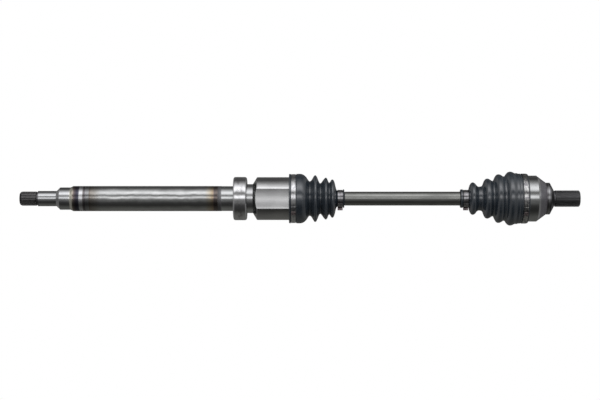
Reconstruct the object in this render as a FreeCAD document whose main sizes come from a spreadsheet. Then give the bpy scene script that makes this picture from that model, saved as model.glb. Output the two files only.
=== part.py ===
import FreeCAD, Part
import Sketcher
import math
import os

os.makedirs("parts", exist_ok=True)
doc = FreeCAD.newDocument("cv_axle")
sheet = doc.addObject("Spreadsheet::Sheet", "sizes")
sheet.Label = "sizes"

# Every size of the axle, in mm (angles in degrees). X runs along the axle from the
# differential to the wheel, and X = 0 is the middle of the support bearing.
SIZES = [
    # stub that enters the differential
    ("diff_spline_r", 12.2), ("diff_spline_len", 29.8), ("diff_spline_teeth", 27),
    ("diff_tooth_depth", 1.0), ("diff_tooth_gap", 1.5), ("diff_root_gap", 0.5),
    ("tip_round", 4.2), ("stub_neck_r", 11.1), ("stub_neck_len", 1.7),
    ("pilot_r", 13.15), ("pilot_len", 31.8), ("pilot_cone_len", 6.0),
    ("seal_seat_r", 19.2), ("seal_seat_len", 18.1), ("seal_cone_len", 4.3),
    ("stub_collar_len", 21.0),
    # hollow middle tube
    ("tube_r", 21.6), ("tube_wall", 4.5), ("tube_len", 227.7),
    # stem and support bearing
    ("weld_band_len", 12.0), ("weld_band_r", 21.5), ("journal_r", 21.35),
    ("journal_len", 20.7), ("bearing_r", 37.15), ("bearing_bore_r", 22.5),
    ("bearing_width", 23.2), ("bearing_round", 3.4), ("inner_ring_wall", 4.1),
    ("outer_ring_wall", 3.75), ("bearing_ball_r", 4.75), ("bearing_balls", 10),
    ("race_clear", 0.1), ("bearing_cage_step", 1.4), ("bearing_cage_wall", 2.8),
    ("bearing_cage_width", 12.6), ("seal_wall", 1.8), ("seal_inset", 1.4),
    ("seal_gap", 0.3),
    # tripod joint housing; its tracks lie round the rollers
    ("abutment_len", 0.8), ("abutment_r", 24.0), ("shoulder_r", 24.9),
    ("shoulder_len", 9.4), ("back_cone_len", 6.9), ("back_cone_step", 0.5),
    ("tulip_len", 68.3), ("tulip_lobe", 4.3), ("track_wall", 1.9), ("bore_clear", 3.0),
    ("tulip_floor", 4.6), ("floor_slope", 6.0), ("flare_len", 19.0), ("flare_step", 7.0),
    ("track_side_clear", 1.1), ("track_end_clear", 2.0), ("track_open_side", 3.0),
    ("wire_step", 0.4), ("wire_r", 0.9), ("wire_inset", 1.5), ("wire_gap_angle", 24),
    # tripod; its depth is measured from the housing's mouth
    ("tripod_depth", 34.0), ("hub_wall", 6.5), ("hub_len", 21.0), ("hub_flat_wall", 3.1),
    ("trunnion_r", 8.1), ("trunnion_tip", 1.0), ("roller_r", 15.5), ("roller_width", 11.0),
    ("roller_gap", 0.4), ("roller_clear", 0.05), ("needle_r", 1.45), ("needles", 18),
    ("needle_clear", 0.02), ("washer_lap", 0.55), ("washer_wall", 0.6),
    ("snap_wall", 0.9), ("snap_lip", 1.8), ("snap_depth", 0.6), ("stack_gap", 0.1),
    # bar between the joints; joint_span is from tripod centre to ball joint centre
    ("joint_span", 427.0), ("bar_r", 12.0), ("bar_neck_step", 1.5), ("bar_seat_step", 0.5),
    ("bar_end_len", 4.0), ("circlip_wall", 1.6), ("circlip_lip", 1.7),
    ("circlip_depth", 1.2), ("bar_chamfer", 0.8),
    # tripod joint boot; its stations are measured from the housing's mouth
    ("boot_gap", 0.3), ("boot_wall", 2.6), ("adapter_wall", 2.2), ("adapter_len", 12.4),
    ("in_seat_wall", 1.9), ("in_lip_lap", 13.2), ("in_lip_step", 1.6), ("in_lip_len", 4.9),
    ("in_groove_len", 8.4), ("in_dome_step", 1.8),
    ("in_valley_1_off", 22.5), ("in_valley_1_r", 30.0), ("in_peak_1_off", 32.0),
    ("in_peak_1_r", 40.3), ("in_valley_2_off", 40.8), ("in_valley_2_r", 26.6),
    ("in_peak_2_off", 50.4), ("in_peak_2_r", 35.8), ("in_valley_3_off", 55.6),
    ("in_valley_3_r", 28.0), ("in_peak_3_off", 61.6), ("in_peak_3_r", 32.6),
    ("in_cuff_off", 67.8), ("cuff_wall", 2.4), ("in_cuff_len", 10.6),
    ("in_end_lip_len", 3.4), ("in_end_lip_step", 2.3), ("crest_half", 1.1),
    ("band_wall", 0.8), ("large_band_width", 7.6), ("small_band_width", 8.4),
    ("ear_height", 3.0), ("ear_length", 9.0), ("small_ear_height", 5.2),
    ("small_ear_length", 7.0), ("large_ear_angle", 125), ("small_ear_angle", 180),
    # ball joint boot; its stations are measured back from the ball joint's centre
    ("out_lip_back", 111.8), ("out_lip_len", 3.6), ("out_lip_step", 2.0),
    ("out_cuff_len", 9.4), ("out_peak_1_back", 90.6), ("out_peak_1_r", 27.8),
    ("out_neck_back", 81.2), ("out_neck_r", 20.8), ("out_neck_len", 7.8),
    ("out_peak_2_back", 65.3), ("out_peak_2_r", 34.3), ("out_valley_2_back", 56.2),
    ("out_valley_2_r", 30.5), ("out_peak_3_back", 45.9), ("out_peak_3_r", 41.6),
    ("out_valley_3_back", 37.6), ("out_valley_3_r", 38.2), ("out_peak_4_back", 25.8),
    ("out_peak_4_step", 4.25), ("out_shoulder_back", 19.2), ("out_shoulder_step", 1.95),
    ("out_shoulder_len", 11.2), ("out_seat_wall", 2.4), ("out_groove_len", 9.0),
    ("out_end_len", 2.0), ("out_end_step", 0.35),
    # ball joint; its stations are measured from its centre
    ("ball_r", 8.3), ("ball_pitch_r", 27.0), ("balls", 6), ("race_sphere_r", 25.5),
    ("race_width", 27.0), ("cage_clear", 0.3), ("cage_wall", 5.2), ("cage_rim", 5.4),
    ("window_gap", 0.25), ("window_spare", 2.9), ("ball_track_step", 2.0),
    ("ball_track_gap", 0.5), ("track_sweep", 110), ("bell_mouth", 12.5),
    ("mouth_step", 2.7), ("mouth_cone_len", 5.0), ("bell_wall", 3.75),
    ("bell_cyl_end", 18.3), ("bell_cone_end", 33.7), ("bell_cone_r", 28.2),
    ("hub_collar_r", 27.35), ("hub_collar_end", 41.3), ("hub_cone_end", 48.4),
    ("hub_relief_r", 13.0), ("hub_relief_len", 1.6), ("hub_spline_r", 14.1),
    ("hub_spline_len", 44.8), ("hub_spline_teeth", 36), ("hub_tooth_depth", 0.9),
    ("hub_tooth_gap", 1.25), ("hub_root_gap", 0.4), ("hub_chamfer", 1.6),
    ("hub_hole_r", 6.25), ("hub_hole_len", 32.0),
]
# Radii and positions that follow from the sizes above.
STATIONS = [
    ("weld_x", "=-bearing_width / 2 - journal_len - weld_band_len / 2"),
    ("stub_x", "=weld_x - tube_len"),
    ("bearing_half", "=bearing_width / 2"),
    ("ring_gap_inner_r", "=bearing_bore_r + inner_ring_wall"),
    ("ring_gap_outer_r", "=bearing_r - outer_ring_wall"),
    ("bearing_ball_pitch_r", "=(ring_gap_inner_r + ring_gap_outer_r) / 2"),
    ("bearing_cage_half", "=bearing_cage_width / 2"),
    ("bar_neck_r", "=bar_r - bar_neck_step"),
    ("bar_spline_r", "=bar_r - bar_seat_step"),
    ("bar_seat_r", "=bar_r - bar_seat_step"),
    ("circlip_r", "=bar_spline_r + circlip_lip"),
    ("hub_r", "=bar_spline_r + hub_wall"),
    ("hub_flat", "=bar_spline_r + hub_flat_wall"),
    ("roller_pitch_r", "=hub_flat + roller_gap + roller_width / 2"),
    ("roller_bore_r", "=trunnion_r + needle_r + needle_r + roller_clear"),
    ("washer_r", "=roller_bore_r + washer_lap"),
    ("washer_base", "=roller_pitch_r + roller_width / 2 + stack_gap"),
    ("snap_base", "=washer_base + washer_wall"),
    ("snap_r", "=trunnion_r + snap_lip"),
    ("trunnion_reach", "=snap_base + snap_wall + trunnion_tip"),
    ("track_r", "=roller_r + track_side_clear"),
    ("track_outer", "=trunnion_reach + track_end_clear"),
    ("track_inner", "=roller_pitch_r - roller_width / 2 - track_open_side"),
    ("tulip_flat", "=track_outer + track_wall"),
    ("tulip_r", "=tulip_flat + tulip_lobe"),
    ("back_cone_r", "=tulip_r - back_cone_step"),
    ("tulip_bore_r", "=hub_r + bore_clear"),
    ("flare_r", "=tulip_bore_r + flare_step"),
    ("wire_ring_r", "=flare_r + wire_step"),
    ("shoulder_x", "=bearing_half + abutment_len"),
    ("cone_x", "=shoulder_x + shoulder_len"),
    ("tulip_x", "=cone_x + back_cone_len"),
    ("tulip_end", "=tulip_x + tulip_len"),
    ("tulip_floor_x", "=cone_x + tulip_floor"),
    ("hub_half", "=hub_len / 2"),
    ("tripod_x", "=tulip_end - tripod_depth"),
    ("ball_joint_x", "=tripod_x + joint_span"),
    ("race_half", "=race_width / 2"),
    ("adapter_r", "=tulip_r + adapter_wall"),
    ("in_groove_r", "=adapter_r + in_seat_wall"),
    ("in_lip_r", "=in_groove_r + in_lip_step"),
    ("in_dome_r", "=in_groove_r + in_dome_step"),
    ("in_lip_x", "=tulip_end - in_lip_lap"),
    ("in_valley_1_x", "=tulip_end + in_valley_1_off"),
    ("in_peak_1_x", "=tulip_end + in_peak_1_off"),
    ("in_valley_2_x", "=tulip_end + in_valley_2_off"),
    ("in_peak_2_x", "=tulip_end + in_peak_2_off"),
    ("in_valley_3_x", "=tulip_end + in_valley_3_off"),
    ("in_peak_3_x", "=tulip_end + in_peak_3_off"),
    ("in_cuff_x", "=tulip_end + in_cuff_off"),
    ("in_cuff_r", "=bar_seat_r + cuff_wall"),
    ("in_cuff_end", "=in_cuff_x + in_cuff_len"),
    ("in_end_lip_r", "=in_cuff_r + in_end_lip_step"),
    ("in_boot_end", "=in_cuff_end + in_end_lip_len"),
    ("cage_inner_r", "=race_sphere_r + cage_clear"),
    ("cage_outer_r", "=cage_inner_r + cage_wall"),
    ("cage_width", "=ball_r + ball_r + cage_rim"),
    ("cage_half", "=cage_width / 2"),
    ("window_long", "=ball_r + ball_r + window_spare"),
    ("bell_sphere_r", "=cage_outer_r + cage_clear"),
    ("mouth_r", "=bell_sphere_r + mouth_step"),
    ("ball_track_r", "=ball_r + ball_track_step"),
    ("bell_track_r", "=ball_pitch_r + ball_r + ball_track_gap - ball_track_r"),
    ("race_track_r", "=ball_pitch_r - ball_r - ball_track_gap + ball_track_r"),
    ("bell_r", "=ball_pitch_r + ball_r + ball_track_gap + bell_wall"),
    ("out_lip_x", "=ball_joint_x - out_lip_back"),
    ("out_cuff_x", "=out_lip_x + out_lip_len"),
    ("out_cuff_end", "=out_cuff_x + out_cuff_len"),
    ("out_cuff_r", "=bar_seat_r + cuff_wall"),
    ("out_lip_r", "=out_cuff_r + out_lip_step"),
    ("out_peak_1_x", "=ball_joint_x - out_peak_1_back"),
    ("out_neck_x", "=ball_joint_x - out_neck_back"),
    ("out_peak_2_x", "=ball_joint_x - out_peak_2_back"),
    ("out_valley_2_x", "=ball_joint_x - out_valley_2_back"),
    ("out_peak_3_x", "=ball_joint_x - out_peak_3_back"),
    ("out_valley_3_x", "=ball_joint_x - out_valley_3_back"),
    ("out_peak_4_x", "=ball_joint_x - out_peak_4_back"),
    ("out_shoulder_x", "=ball_joint_x - out_shoulder_back"),
    ("out_groove_x", "=out_shoulder_x + out_shoulder_len"),
    ("out_groove_end", "=out_groove_x + out_groove_len"),
    ("out_boot_end", "=out_groove_end + out_end_len"),
    ("out_groove_r", "=bell_r + out_seat_wall"),
    ("out_shoulder_r", "=out_groove_r + out_shoulder_step"),
    ("out_peak_4_r", "=out_groove_r + out_peak_4_step"),
    ("out_end_r", "=out_groove_r - out_end_step"),
    ("bar_boot_in", "=in_cuff_x - tripod_x - 3"),
    ("bar_visible_in", "=in_boot_end - tripod_x + 1"),
    ("bar_visible_out", "=out_lip_x - tripod_x"),
    ("bar_boot_out", "=out_cuff_end - tripod_x + 3"),
    ("hub_end", "=hub_cone_end + hub_spline_len"),
    ("diff_len", "=stub_collar_len + seal_cone_len + seal_seat_len + pilot_cone_len"
                 " + pilot_len + stub_neck_len + diff_spline_len"),
    ("in_band_r", "=in_groove_r + boot_gap"),
    ("out_band_r", "=out_groove_r + boot_gap"),
    ("in_small_band_r", "=in_cuff_r + boot_gap"),
    ("out_small_band_r", "=out_cuff_r + boot_gap"),
]
for row, (name, number) in enumerate(SIZES + STATIONS, start=1):
    sheet.set("A%d" % row, name)
    sheet.set("B%d" % row, str(number))
    sheet.setAlias("B%d" % row, name)
doc.recompute()


def val(name):
    return float(sheet.get(name))


def total(text):
    """Value of a sum such as 'bar_r - bar_chamfer'."""
    sign, result = 1.0, 0.0
    for word in text.split():
        if word == "+":
            sign = 1.0
        elif word == "-":
            sign = -1.0
        else:
            number = word.replace(".", "", 1).isdigit()
            result += sign * (float(word) if number else val(word))
            sign = 1.0
    return result


def bound(text):
    """The same sum written for FreeCAD's own expressions."""
    words = []
    for word in text.split():
        plain = word in "+-" or word.replace(".", "", 1).isdigit()
        words.append(word if plain else "sizes." + word)
    return " ".join(words)


def bind(obj, prop, text):
    obj.setExpression(prop, bound(text))


def plane(body, role):
    return [f for f in body.Origin.OriginFeatures if f.Role == role][0]


def new_body(label):
    body = doc.addObject("PartDesign::Body", label)
    body.Label = label
    return body


def new_sketch(body, name, role, offset=None):
    sketch = body.newObject("Sketcher::SketchObject", name)
    sketch.AttachmentSupport = [(plane(body, role), "")]
    sketch.MapMode = "FlatFace"
    if offset:
        bind(sketch, "AttachmentOffset.Base.z", offset)
    return sketch


def fix_point(sketch, edge, end, across, up):
    for kind, text in (("DistanceX", across), ("DistanceY", up)):
        if text == "0":
            axis = -2 if kind == "DistanceX" else -1
            sketch.addConstraint(Sketcher.Constraint("PointOnObject", edge, end, axis))
        else:
            number = sketch.addConstraint(
                Sketcher.Constraint(kind, edge, end, total(text)))
            sketch.setExpression("Constraints[%d]" % number, bound(text))


def outline(body, name, points, role="XZ_Plane", offset=None):
    """Closed outline with straight sides; each corner is a pair of sums."""
    sketch = new_sketch(body, name, role, offset)
    flat = [FreeCAD.Vector(total(a), total(b), 0) for a, b in points]
    for i, start in enumerate(flat):
        sketch.addGeometry(Part.LineSegment(start, flat[(i + 1) % len(flat)]), False)
    for i in range(len(flat)):
        sketch.addConstraint(Sketcher.Constraint("Coincident", i, 2, (i + 1) % len(flat), 1))
    for i, (a, b) in enumerate(points):
        fix_point(sketch, i, 1, a, b)
    return sketch


def disc(body, name, centre, radius, role, offset=None):
    sketch = new_sketch(body, name, role, offset)
    middle = FreeCAD.Vector(total(centre[0]), total(centre[1]), 0)
    sketch.addGeometry(Part.Circle(middle, FreeCAD.Vector(0, 0, 1), total(radius)), False)
    number = sketch.addConstraint(Sketcher.Constraint("Radius", 0, total(radius)))
    sketch.setExpression("Constraints[%d]" % number, bound(radius))
    fix_point(sketch, 0, 3, centre[0], centre[1])
    return sketch


def turned(label, points):
    """Body of revolution about the axle's axis, from half of its section."""
    body = new_body(label)
    sketch = outline(body, label + "_section", points)
    turn = body.newObject("PartDesign::Revolution", label + "_turn")
    turn.Profile = sketch
    turn.ReferenceAxis = (sketch, ["H_Axis"])
    turn.Angle = 360
    body.Tip = turn
    return body


def pocket(body, sketch, name, depth, towards_wheel=False):
    cut = body.newObject("PartDesign::Pocket", name)
    cut.Profile = sketch
    cut.Length = total(depth)
    bind(cut, "Length", depth)
    cut.Reversed = towards_wheel
    body.Tip = cut
    return cut


def around(body, feature, name, count):
    ring = body.newObject("PartDesign::PolarPattern", name)
    ring.Originals = [feature]
    ring.Axis = (plane(body, "X_Axis"), [""])
    ring.Angle = 360
    ring.Occurrences = int(total(count))
    bind(ring, "Occurrences", count)
    body.Tip = ring
    return ring


def primitive(kind, name, **sizes):
    obj = doc.addObject("Part::" + kind, name)
    for prop, text in sizes.items():
        setattr(obj, prop, total(text))
        bind(obj, prop, text)
    return obj


def turn_to_x():
    return FreeCAD.Rotation(FreeCAD.Vector(0, 1, 0), 90)


def rod(name, radius, length, start):
    """Cylinder along X whose near end is at start."""
    obj = primitive("Cylinder", name, Radius=radius, Height=length)
    obj.Placement = FreeCAD.Placement(FreeCAD.Vector(total(start), 0, 0), turn_to_x())
    bind(obj, "Placement.Base.x", start)
    return obj


def cut(label, base, tools):
    for i, tool in enumerate(tools):
        step = doc.addObject("Part::Cut", "%s_cut_%d" % (label, i))
        step.Base = base
        step.Tool = tool
        base = step
    base.Label = label
    return base


def joined(kind, label, pieces):
    obj = doc.addObject("Part::" + kind, label)
    obj.Shapes = pieces
    obj.Label = label
    return obj


def group(label, pieces):
    obj = doc.addObject("Part::Compound", label)
    obj.Links = pieces
    obj.Label = label
    return obj


def spoke(angle):
    """Turns +Z towards the given angle round the axle (0 is +Y, 90 is +Z)."""
    return FreeCAD.Rotation(FreeCAD.Vector(1, 0, 0), angle - 90)


nodes = []


def place(obj, at="0"):
    """Sets a finished sub-part at its station along the axle and lists it."""
    if at != "0":
        obj.Placement = FreeCAD.Placement(
            FreeCAD.Vector(total(at), 0, 0), obj.Placement.Rotation)
        bind(obj, "Placement.Base.x", at)
    nodes.append(obj)
    return obj


# ---------------------------------------------------------------- differential stub
# Built from the weld face towards the differential, so X falls along the list.
reach = "- stub_collar_len"
stub = [("0", "0"), ("0", "tube_r"), (reach, "tube_r")]
reach += " - seal_cone_len"
stub += [(reach, "seal_seat_r")]
reach += " - seal_seat_len"
stub += [(reach, "seal_seat_r")]
reach += " - pilot_cone_len"
stub += [(reach, "pilot_r")]
reach += " - pilot_len"
stub += [(reach, "pilot_r"), (reach + " - 0.8", "stub_neck_r")]
reach += " - stub_neck_len"
stub += [(reach, "stub_neck_r"), (reach + " - 1.2", "diff_spline_r"),
         ("tip_round - diff_len", "diff_spline_r"),
         ("1.6 - diff_len", "diff_spline_r - 1.3"),
         ("0.4 - diff_len", "diff_spline_r - 3"), ("- diff_len", "diff_spline_r - 6"),
         ("- diff_len", "0")]
diff_stub = turned("diff_stub_shaft", stub)
teeth = outline(diff_stub, "diff_tooth_space", [
    ("- diff_root_gap", "diff_spline_r - diff_tooth_depth"),
    ("diff_root_gap", "diff_spline_r - diff_tooth_depth"),
    ("diff_tooth_gap - 0.3", "diff_spline_r + 0.6"),
    ("0.3 - diff_tooth_gap", "diff_spline_r + 0.6")], "YZ_Plane", "- diff_len - 1")
space = pocket(diff_stub, teeth, "diff_tooth_cut", "diff_spline_len + 2", True)
around(diff_stub, space, "diff_teeth", "diff_spline_teeth")
place(diff_stub, "stub_x")

# ---------------------------------------------------------------- middle tube
tube = cut("torque_tube", rod("tube_outside", "tube_r", "tube_len", "0"),
           [rod("tube_inside", "tube_r - tube_wall", "tube_len + 2", "- 1")])
place(tube, "stub_x")

# ---------------------------------------------------------------- tripod joint housing
housing = turned("tulip_housing", [
    ("weld_x", "0"), ("weld_x", "weld_band_r"),
    ("weld_x + weld_band_len - 6", "weld_band_r"),
    ("weld_x + weld_band_len - 5.6", "journal_r"), ("- bearing_half", "journal_r"),
    ("- bearing_half", "bearing_bore_r"), ("bearing_half", "bearing_bore_r"),
    ("bearing_half", "abutment_r"), ("shoulder_x", "abutment_r"),
    ("shoulder_x", "shoulder_r"), ("cone_x", "shoulder_r"), ("tulip_x", "back_cone_r"),
    ("tulip_x + 1.4", "tulip_r"), ("tulip_end", "tulip_r"), ("tulip_end", "flare_r"),
    ("tulip_end - flare_len", "tulip_bore_r"),
    ("tulip_floor_x + floor_slope", "tulip_bore_r"),
    ("tulip_floor_x", "tulip_bore_r - floor_slope"), ("tulip_floor_x", "0")])
side = outline(housing, "flat_outline", [
    ("- tulip_r", "tulip_flat"), ("tulip_r", "tulip_flat"),
    ("tulip_r", "tulip_r + 5"), ("- tulip_r", "tulip_r + 5")],
    "YZ_Plane", "tulip_end")
flat_cut = pocket(housing, side, "flat_cut", "tulip_end - cone_x")
around(housing, flat_cut, "flats", "3")


def track_outline(body, name, offset):
    """Roller track: two round sides with a flat top and an open inner side."""
    sketch = new_sketch(body, name, "YZ_Plane", offset)
    r, mid = val("track_r"), -val("roller_pitch_r")
    low, high = -val("track_outer"), -val("track_inner")
    a_low = math.asin((low - mid) / r)
    a_high = math.asin((high - mid) / r)
    centre, up = FreeCAD.Vector(0, mid, 0), FreeCAD.Vector(0, 0, 1)
    ring = Part.Circle(centre, up, r)
    sketch.addGeometry(Part.ArcOfCircle(ring, a_low, a_high), False)
    sketch.addGeometry(Part.ArcOfCircle(ring, math.pi - a_high, math.pi - a_low), False)
    ends = [sketch.getPoint(0, 2), sketch.getPoint(1, 1),
            sketch.getPoint(1, 2), sketch.getPoint(0, 1)]
    sketch.addGeometry(Part.LineSegment(ends[0], ends[1]), False)
    sketch.addGeometry(Part.LineSegment(ends[2], ends[3]), False)
    for a, b, c, d in ((0, 2, 2, 1), (2, 2, 1, 1), (1, 2, 3, 1), (3, 2, 0, 1)):
        sketch.addConstraint(Sketcher.Constraint("Coincident", a, b, c, d))
    fix_point(sketch, 0, 3, "0", "- roller_pitch_r")
    sketch.addConstraint(Sketcher.Constraint("Coincident", 0, 3, 1, 3))
    number = sketch.addConstraint(Sketcher.Constraint("Radius", 0, r))
    sketch.setExpression("Constraints[%d]" % number, "sizes.track_r")
    sketch.addConstraint(Sketcher.Constraint("Horizontal", 2))
    sketch.addConstraint(Sketcher.Constraint("Horizontal", 3))
    for edge, end, text in ((0, 1, "- track_outer"), (0, 2, "- track_inner")):
        number = sketch.addConstraint(
            Sketcher.Constraint("DistanceY", edge, end, total(text)))
        sketch.setExpression("Constraints[%d]" % number, bound(text))
    return sketch


tracks = track_outline(housing, "track_outline", "tulip_end")
track_cut = pocket(housing, tracks, "track_cut", "tulip_end - tulip_floor_x - 2")
around(housing, track_cut, "tracks", "3")
wire_seat = disc(housing, "wire_seat", ("tulip_end - wire_inset", "wire_ring_r"),
                 "wire_r", "XZ_Plane")
wire_groove = housing.newObject("PartDesign::Groove", "wire_groove")
wire_groove.Profile = wire_seat
wire_groove.ReferenceAxis = (wire_seat, ["H_Axis"])
wire_groove.Angle = 360
housing.Tip = wire_groove
place(housing)

wire = new_body("tulip_retaining_wire")
wire_round = disc(wire, "wire_round", ("tulip_end - wire_inset", "wire_ring_r"),
                  "wire_r - 0.03", "XZ_Plane")
wire_turn = wire.newObject("PartDesign::Revolution", "wire_turn")
wire_turn.Profile = wire_round
wire_turn.ReferenceAxis = (wire_round, ["H_Axis"])
wire_turn.Angle = 360 - total("wire_gap_angle")
wire_turn.setExpression("Angle", "360 - sizes.wire_gap_angle")
wire.Tip = wire_turn
place(wire)

# ---------------------------------------------------------------- support bearing
outer_ring = turned("support_bearing_outer_ring", [
    ("- bearing_half", "ring_gap_outer_r"),
    ("- bearing_half", "bearing_r - bearing_round"),
    ("- bearing_half + 0.45", "bearing_r - 1.7"), ("- bearing_half + 1.7", "bearing_r - 0.45"),
    ("- bearing_half + bearing_round", "bearing_r"),
    ("bearing_half - bearing_round", "bearing_r"),
    ("bearing_half - 1.7", "bearing_r - 0.45"), ("bearing_half - 0.45", "bearing_r - 1.7"),
    ("bearing_half", "bearing_r - bearing_round"), ("bearing_half", "ring_gap_outer_r"),
])
inner_ring = turned("support_bearing_inner_ring", [
    ("- bearing_half", "bearing_bore_r"),
    ("- bearing_half", "ring_gap_inner_r"),
    ("bearing_half", "ring_gap_inner_r"),
    ("bearing_half", "bearing_bore_r")])


def ball_groove(body, name):
    seat = disc(body, name + "_seat", ("0", "bearing_ball_pitch_r"),
                "bearing_ball_r + race_clear", "XZ_Plane")
    groove = body.newObject("PartDesign::Groove", name)
    groove.Profile = seat
    groove.ReferenceAxis = (seat, ["H_Axis"])
    groove.Angle = 360
    body.Tip = groove


ball_groove(outer_ring, "outer_groove")
ball_groove(inner_ring, "inner_groove")
place(outer_ring)
place(inner_ring)
bearing_balls = []
for i in range(int(val("bearing_balls"))):
    ball = primitive("Sphere", "bearing_ball_%d" % i, Radius="bearing_ball_r")
    angle = 2 * math.pi * i / val("bearing_balls")
    ball.setExpression("Placement.Base.y", "sizes.bearing_ball_pitch_r * %.9f" % math.cos(angle))
    ball.setExpression("Placement.Base.z", "sizes.bearing_ball_pitch_r * %.9f" % math.sin(angle))
    bearing_balls.append(ball)
place(group("support_bearing_balls", bearing_balls))
cage_blank = cut("bearing_cage_blank", rod(
    "bearing_cage_outside", "bearing_ball_pitch_r + bearing_cage_step",
    "bearing_cage_width", "- bearing_cage_half"), [rod(
        "bearing_cage_inside",
        "bearing_ball_pitch_r + bearing_cage_step - bearing_cage_wall",
        "bearing_cage_width + 2", "- bearing_cage_half - 1")])
pockets = []
for i in range(int(val("bearing_balls"))):
    hole = primitive("Cylinder", "bearing_pocket_%d" % i,
                     Radius="bearing_ball_r + race_clear", Height="bearing_r")
    hole.Placement = FreeCAD.Placement(
        FreeCAD.Vector(), spoke(360.0 * i / val("bearing_balls")))
    pockets.append(hole)
place(cut("support_bearing_cage", cage_blank, [joined("MultiFuse", "bearing_pockets", pockets)]))


def seal(label, side):
    start = "- bearing_half + seal_inset" if side < 0 else "bearing_half - seal_inset - seal_wall"
    return cut(label, rod(label + "_outside", "ring_gap_outer_r", "seal_wall", start),
               [rod(label + "_inside", "ring_gap_inner_r + seal_gap", "seal_wall + 2",
                    start + " - 1")])


place(seal("support_bearing_seal_left", -1))
place(seal("support_bearing_seal_right", 1))

# ---------------------------------------------------------------- tripod
spider = new_body("spider_blank")
hub_round = disc(spider, "hub_round", ("0", "0"), "hub_r", "YZ_Plane")
hub = spider.newObject("PartDesign::Pad", "hub")
hub.Profile = hub_round
hub.Length = val("hub_len")
hub.Midplane = True
bind(hub, "Length", "hub_len")
spider.Tip = hub
hub_side = outline(spider, "hub_flat_outline", [
    ("- hub_r", "- hub_flat"), ("hub_r", "- hub_flat"),
    ("hub_r", "- hub_r - 3"), ("- hub_r", "- hub_r - 3")], "YZ_Plane", "hub_half")
hub_cut = pocket(spider, hub_side, "hub_flat_cut", "hub_len")
around(spider, hub_cut, "hub_flats", "3")
pin_round = disc(spider, "trunnion_round", ("0", "0"), "trunnion_r", "XY_Plane")
pin = spider.newObject("PartDesign::Pad", "trunnion")
pin.Profile = pin_round
pin.Length = val("trunnion_reach")
bind(pin, "Length", "trunnion_reach")
pin.Reversed = True
spider.Tip = pin
around(spider, pin, "trunnions", "3")
bore_round = disc(spider, "spider_bore_round", ("0", "0"), "bar_spline_r", "YZ_Plane", "hub_half")
bore = pocket(spider, bore_round, "spider_bore", "hub_len")
snap_seats = []
for i in range(3):
    blank = primitive("Cylinder", "snap_seat_outside_%d" % i, Radius="trunnion_r + 2",
                      Height="snap_wall + stack_gap")
    core = primitive("Cylinder", "snap_seat_core_%d" % i, Radius="trunnion_r - snap_depth",
                     Height="snap_wall + stack_gap")
    seat = cut("snap_seat_%d" % i, blank, [core])
    turn = spoke(270 + 120 * i)
    seat.Placement = FreeCAD.Placement(
        turn.multVec(FreeCAD.Vector(0, 0, val("snap_base"))), turn)
    axis = turn.multVec(FreeCAD.Vector(0, 0, 1))
    seat.setExpression("Placement.Base.y", "sizes.snap_base * %.9f" % axis.y)
    seat.setExpression("Placement.Base.z", "sizes.snap_base * %.9f" % axis.z)
    snap_seats.append(seat)
place(cut("tripod_spider", spider, [joined("MultiFuse", "snap_seats", snap_seats)]),
      "tripod_x")


def on_trunnion(label, obj, angle, base):
    """Stands a piece made along Z on a trunnion, base away from the axle."""
    turn = spoke(angle)
    axis = turn.multVec(FreeCAD.Vector(0, 0, 1))
    obj.Placement = FreeCAD.Placement(FreeCAD.Vector(), turn)
    bind(obj, "Placement.Base.x", "tripod_x")
    obj.setExpression("Placement.Base.y", "(%s) * %.9f" % (bound(base), axis.y))
    obj.setExpression("Placement.Base.z", "(%s) * %.9f" % (bound(base), axis.z))
    obj.Label = label
    nodes.append(obj)


def plain_ring(name, outside, inside, width, gap_width=None):
    whole = name + "_whole" if gap_width else name
    ring = cut(whole, primitive("Cylinder", name + "_outside", Radius=outside, Height=width),
               [primitive("Cylinder", name + "_inside", Radius=inside, Height=width)])
    if gap_width:
        slot = primitive("Box", name + "_slot", Length=outside, Width=gap_width, Height=width)
        slot.setExpression("Placement.Base.y", "-(%s) / 2" % bound(gap_width))
        ring = cut(name, ring, [slot])
    return ring


def make_roller(i, angle):
    ball = primitive("Sphere", "roller_ball_%d" % i, Radius="roller_r")
    slab = primitive("Cylinder", "roller_slab_%d" % i, Radius="roller_r", Height="roller_width")
    slab.setExpression("Placement.Base.z", "-sizes.roller_width / 2")
    eye = primitive("Cylinder", "roller_eye_%d" % i, Radius="roller_bore_r",
                    Height="roller_width + 2")
    eye.setExpression("Placement.Base.z", "-sizes.roller_width / 2 - 1")
    roller = cut("roller_%d" % i, joined("MultiCommon", "roller_blank_%d" % i, [ball, slab]), [eye])
    on_trunnion("roller_%d" % i, roller, angle, "roller_pitch_r")
    rolls = []
    for k in range(int(val("needles"))):
        turn = 2 * math.pi * k / val("needles")
        needle = primitive("Cylinder", "needle_%d_%d" % (i, k), Radius="needle_r",
                           Height="roller_width - 0.6")
        pitch = "(sizes.trunnion_r + sizes.needle_r + sizes.needle_clear)"
        needle.setExpression("Placement.Base.x", "%s * %.9f" % (pitch, math.cos(turn)))
        needle.setExpression("Placement.Base.y", "%s * %.9f" % (pitch, math.sin(turn)))
        needle.setExpression("Placement.Base.z", "0.3 - sizes.roller_width / 2")
        rolls.append(needle)
    on_trunnion("roller_needles_%d" % i, group("roller_needles_%d" % i, rolls), angle,
                "roller_pitch_r")


def make_retainers(i, angle):
    washer = plain_ring("roller_washer_%d" % i, "washer_r", "trunnion_r + 0.05", "washer_wall")
    on_trunnion("roller_washer_%d" % i, washer, angle, "washer_base")
    snap = plain_ring("roller_snap_ring_%d" % i, "snap_r", "trunnion_r - snap_depth",
                      "snap_wall", "needle_r + needle_r")
    on_trunnion("roller_snap_ring_%d" % i, snap, angle, "snap_base")


for i, angle in enumerate((270, 30, 150), start=1):
    make_roller(i, angle)
    make_retainers(i, angle)

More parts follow.
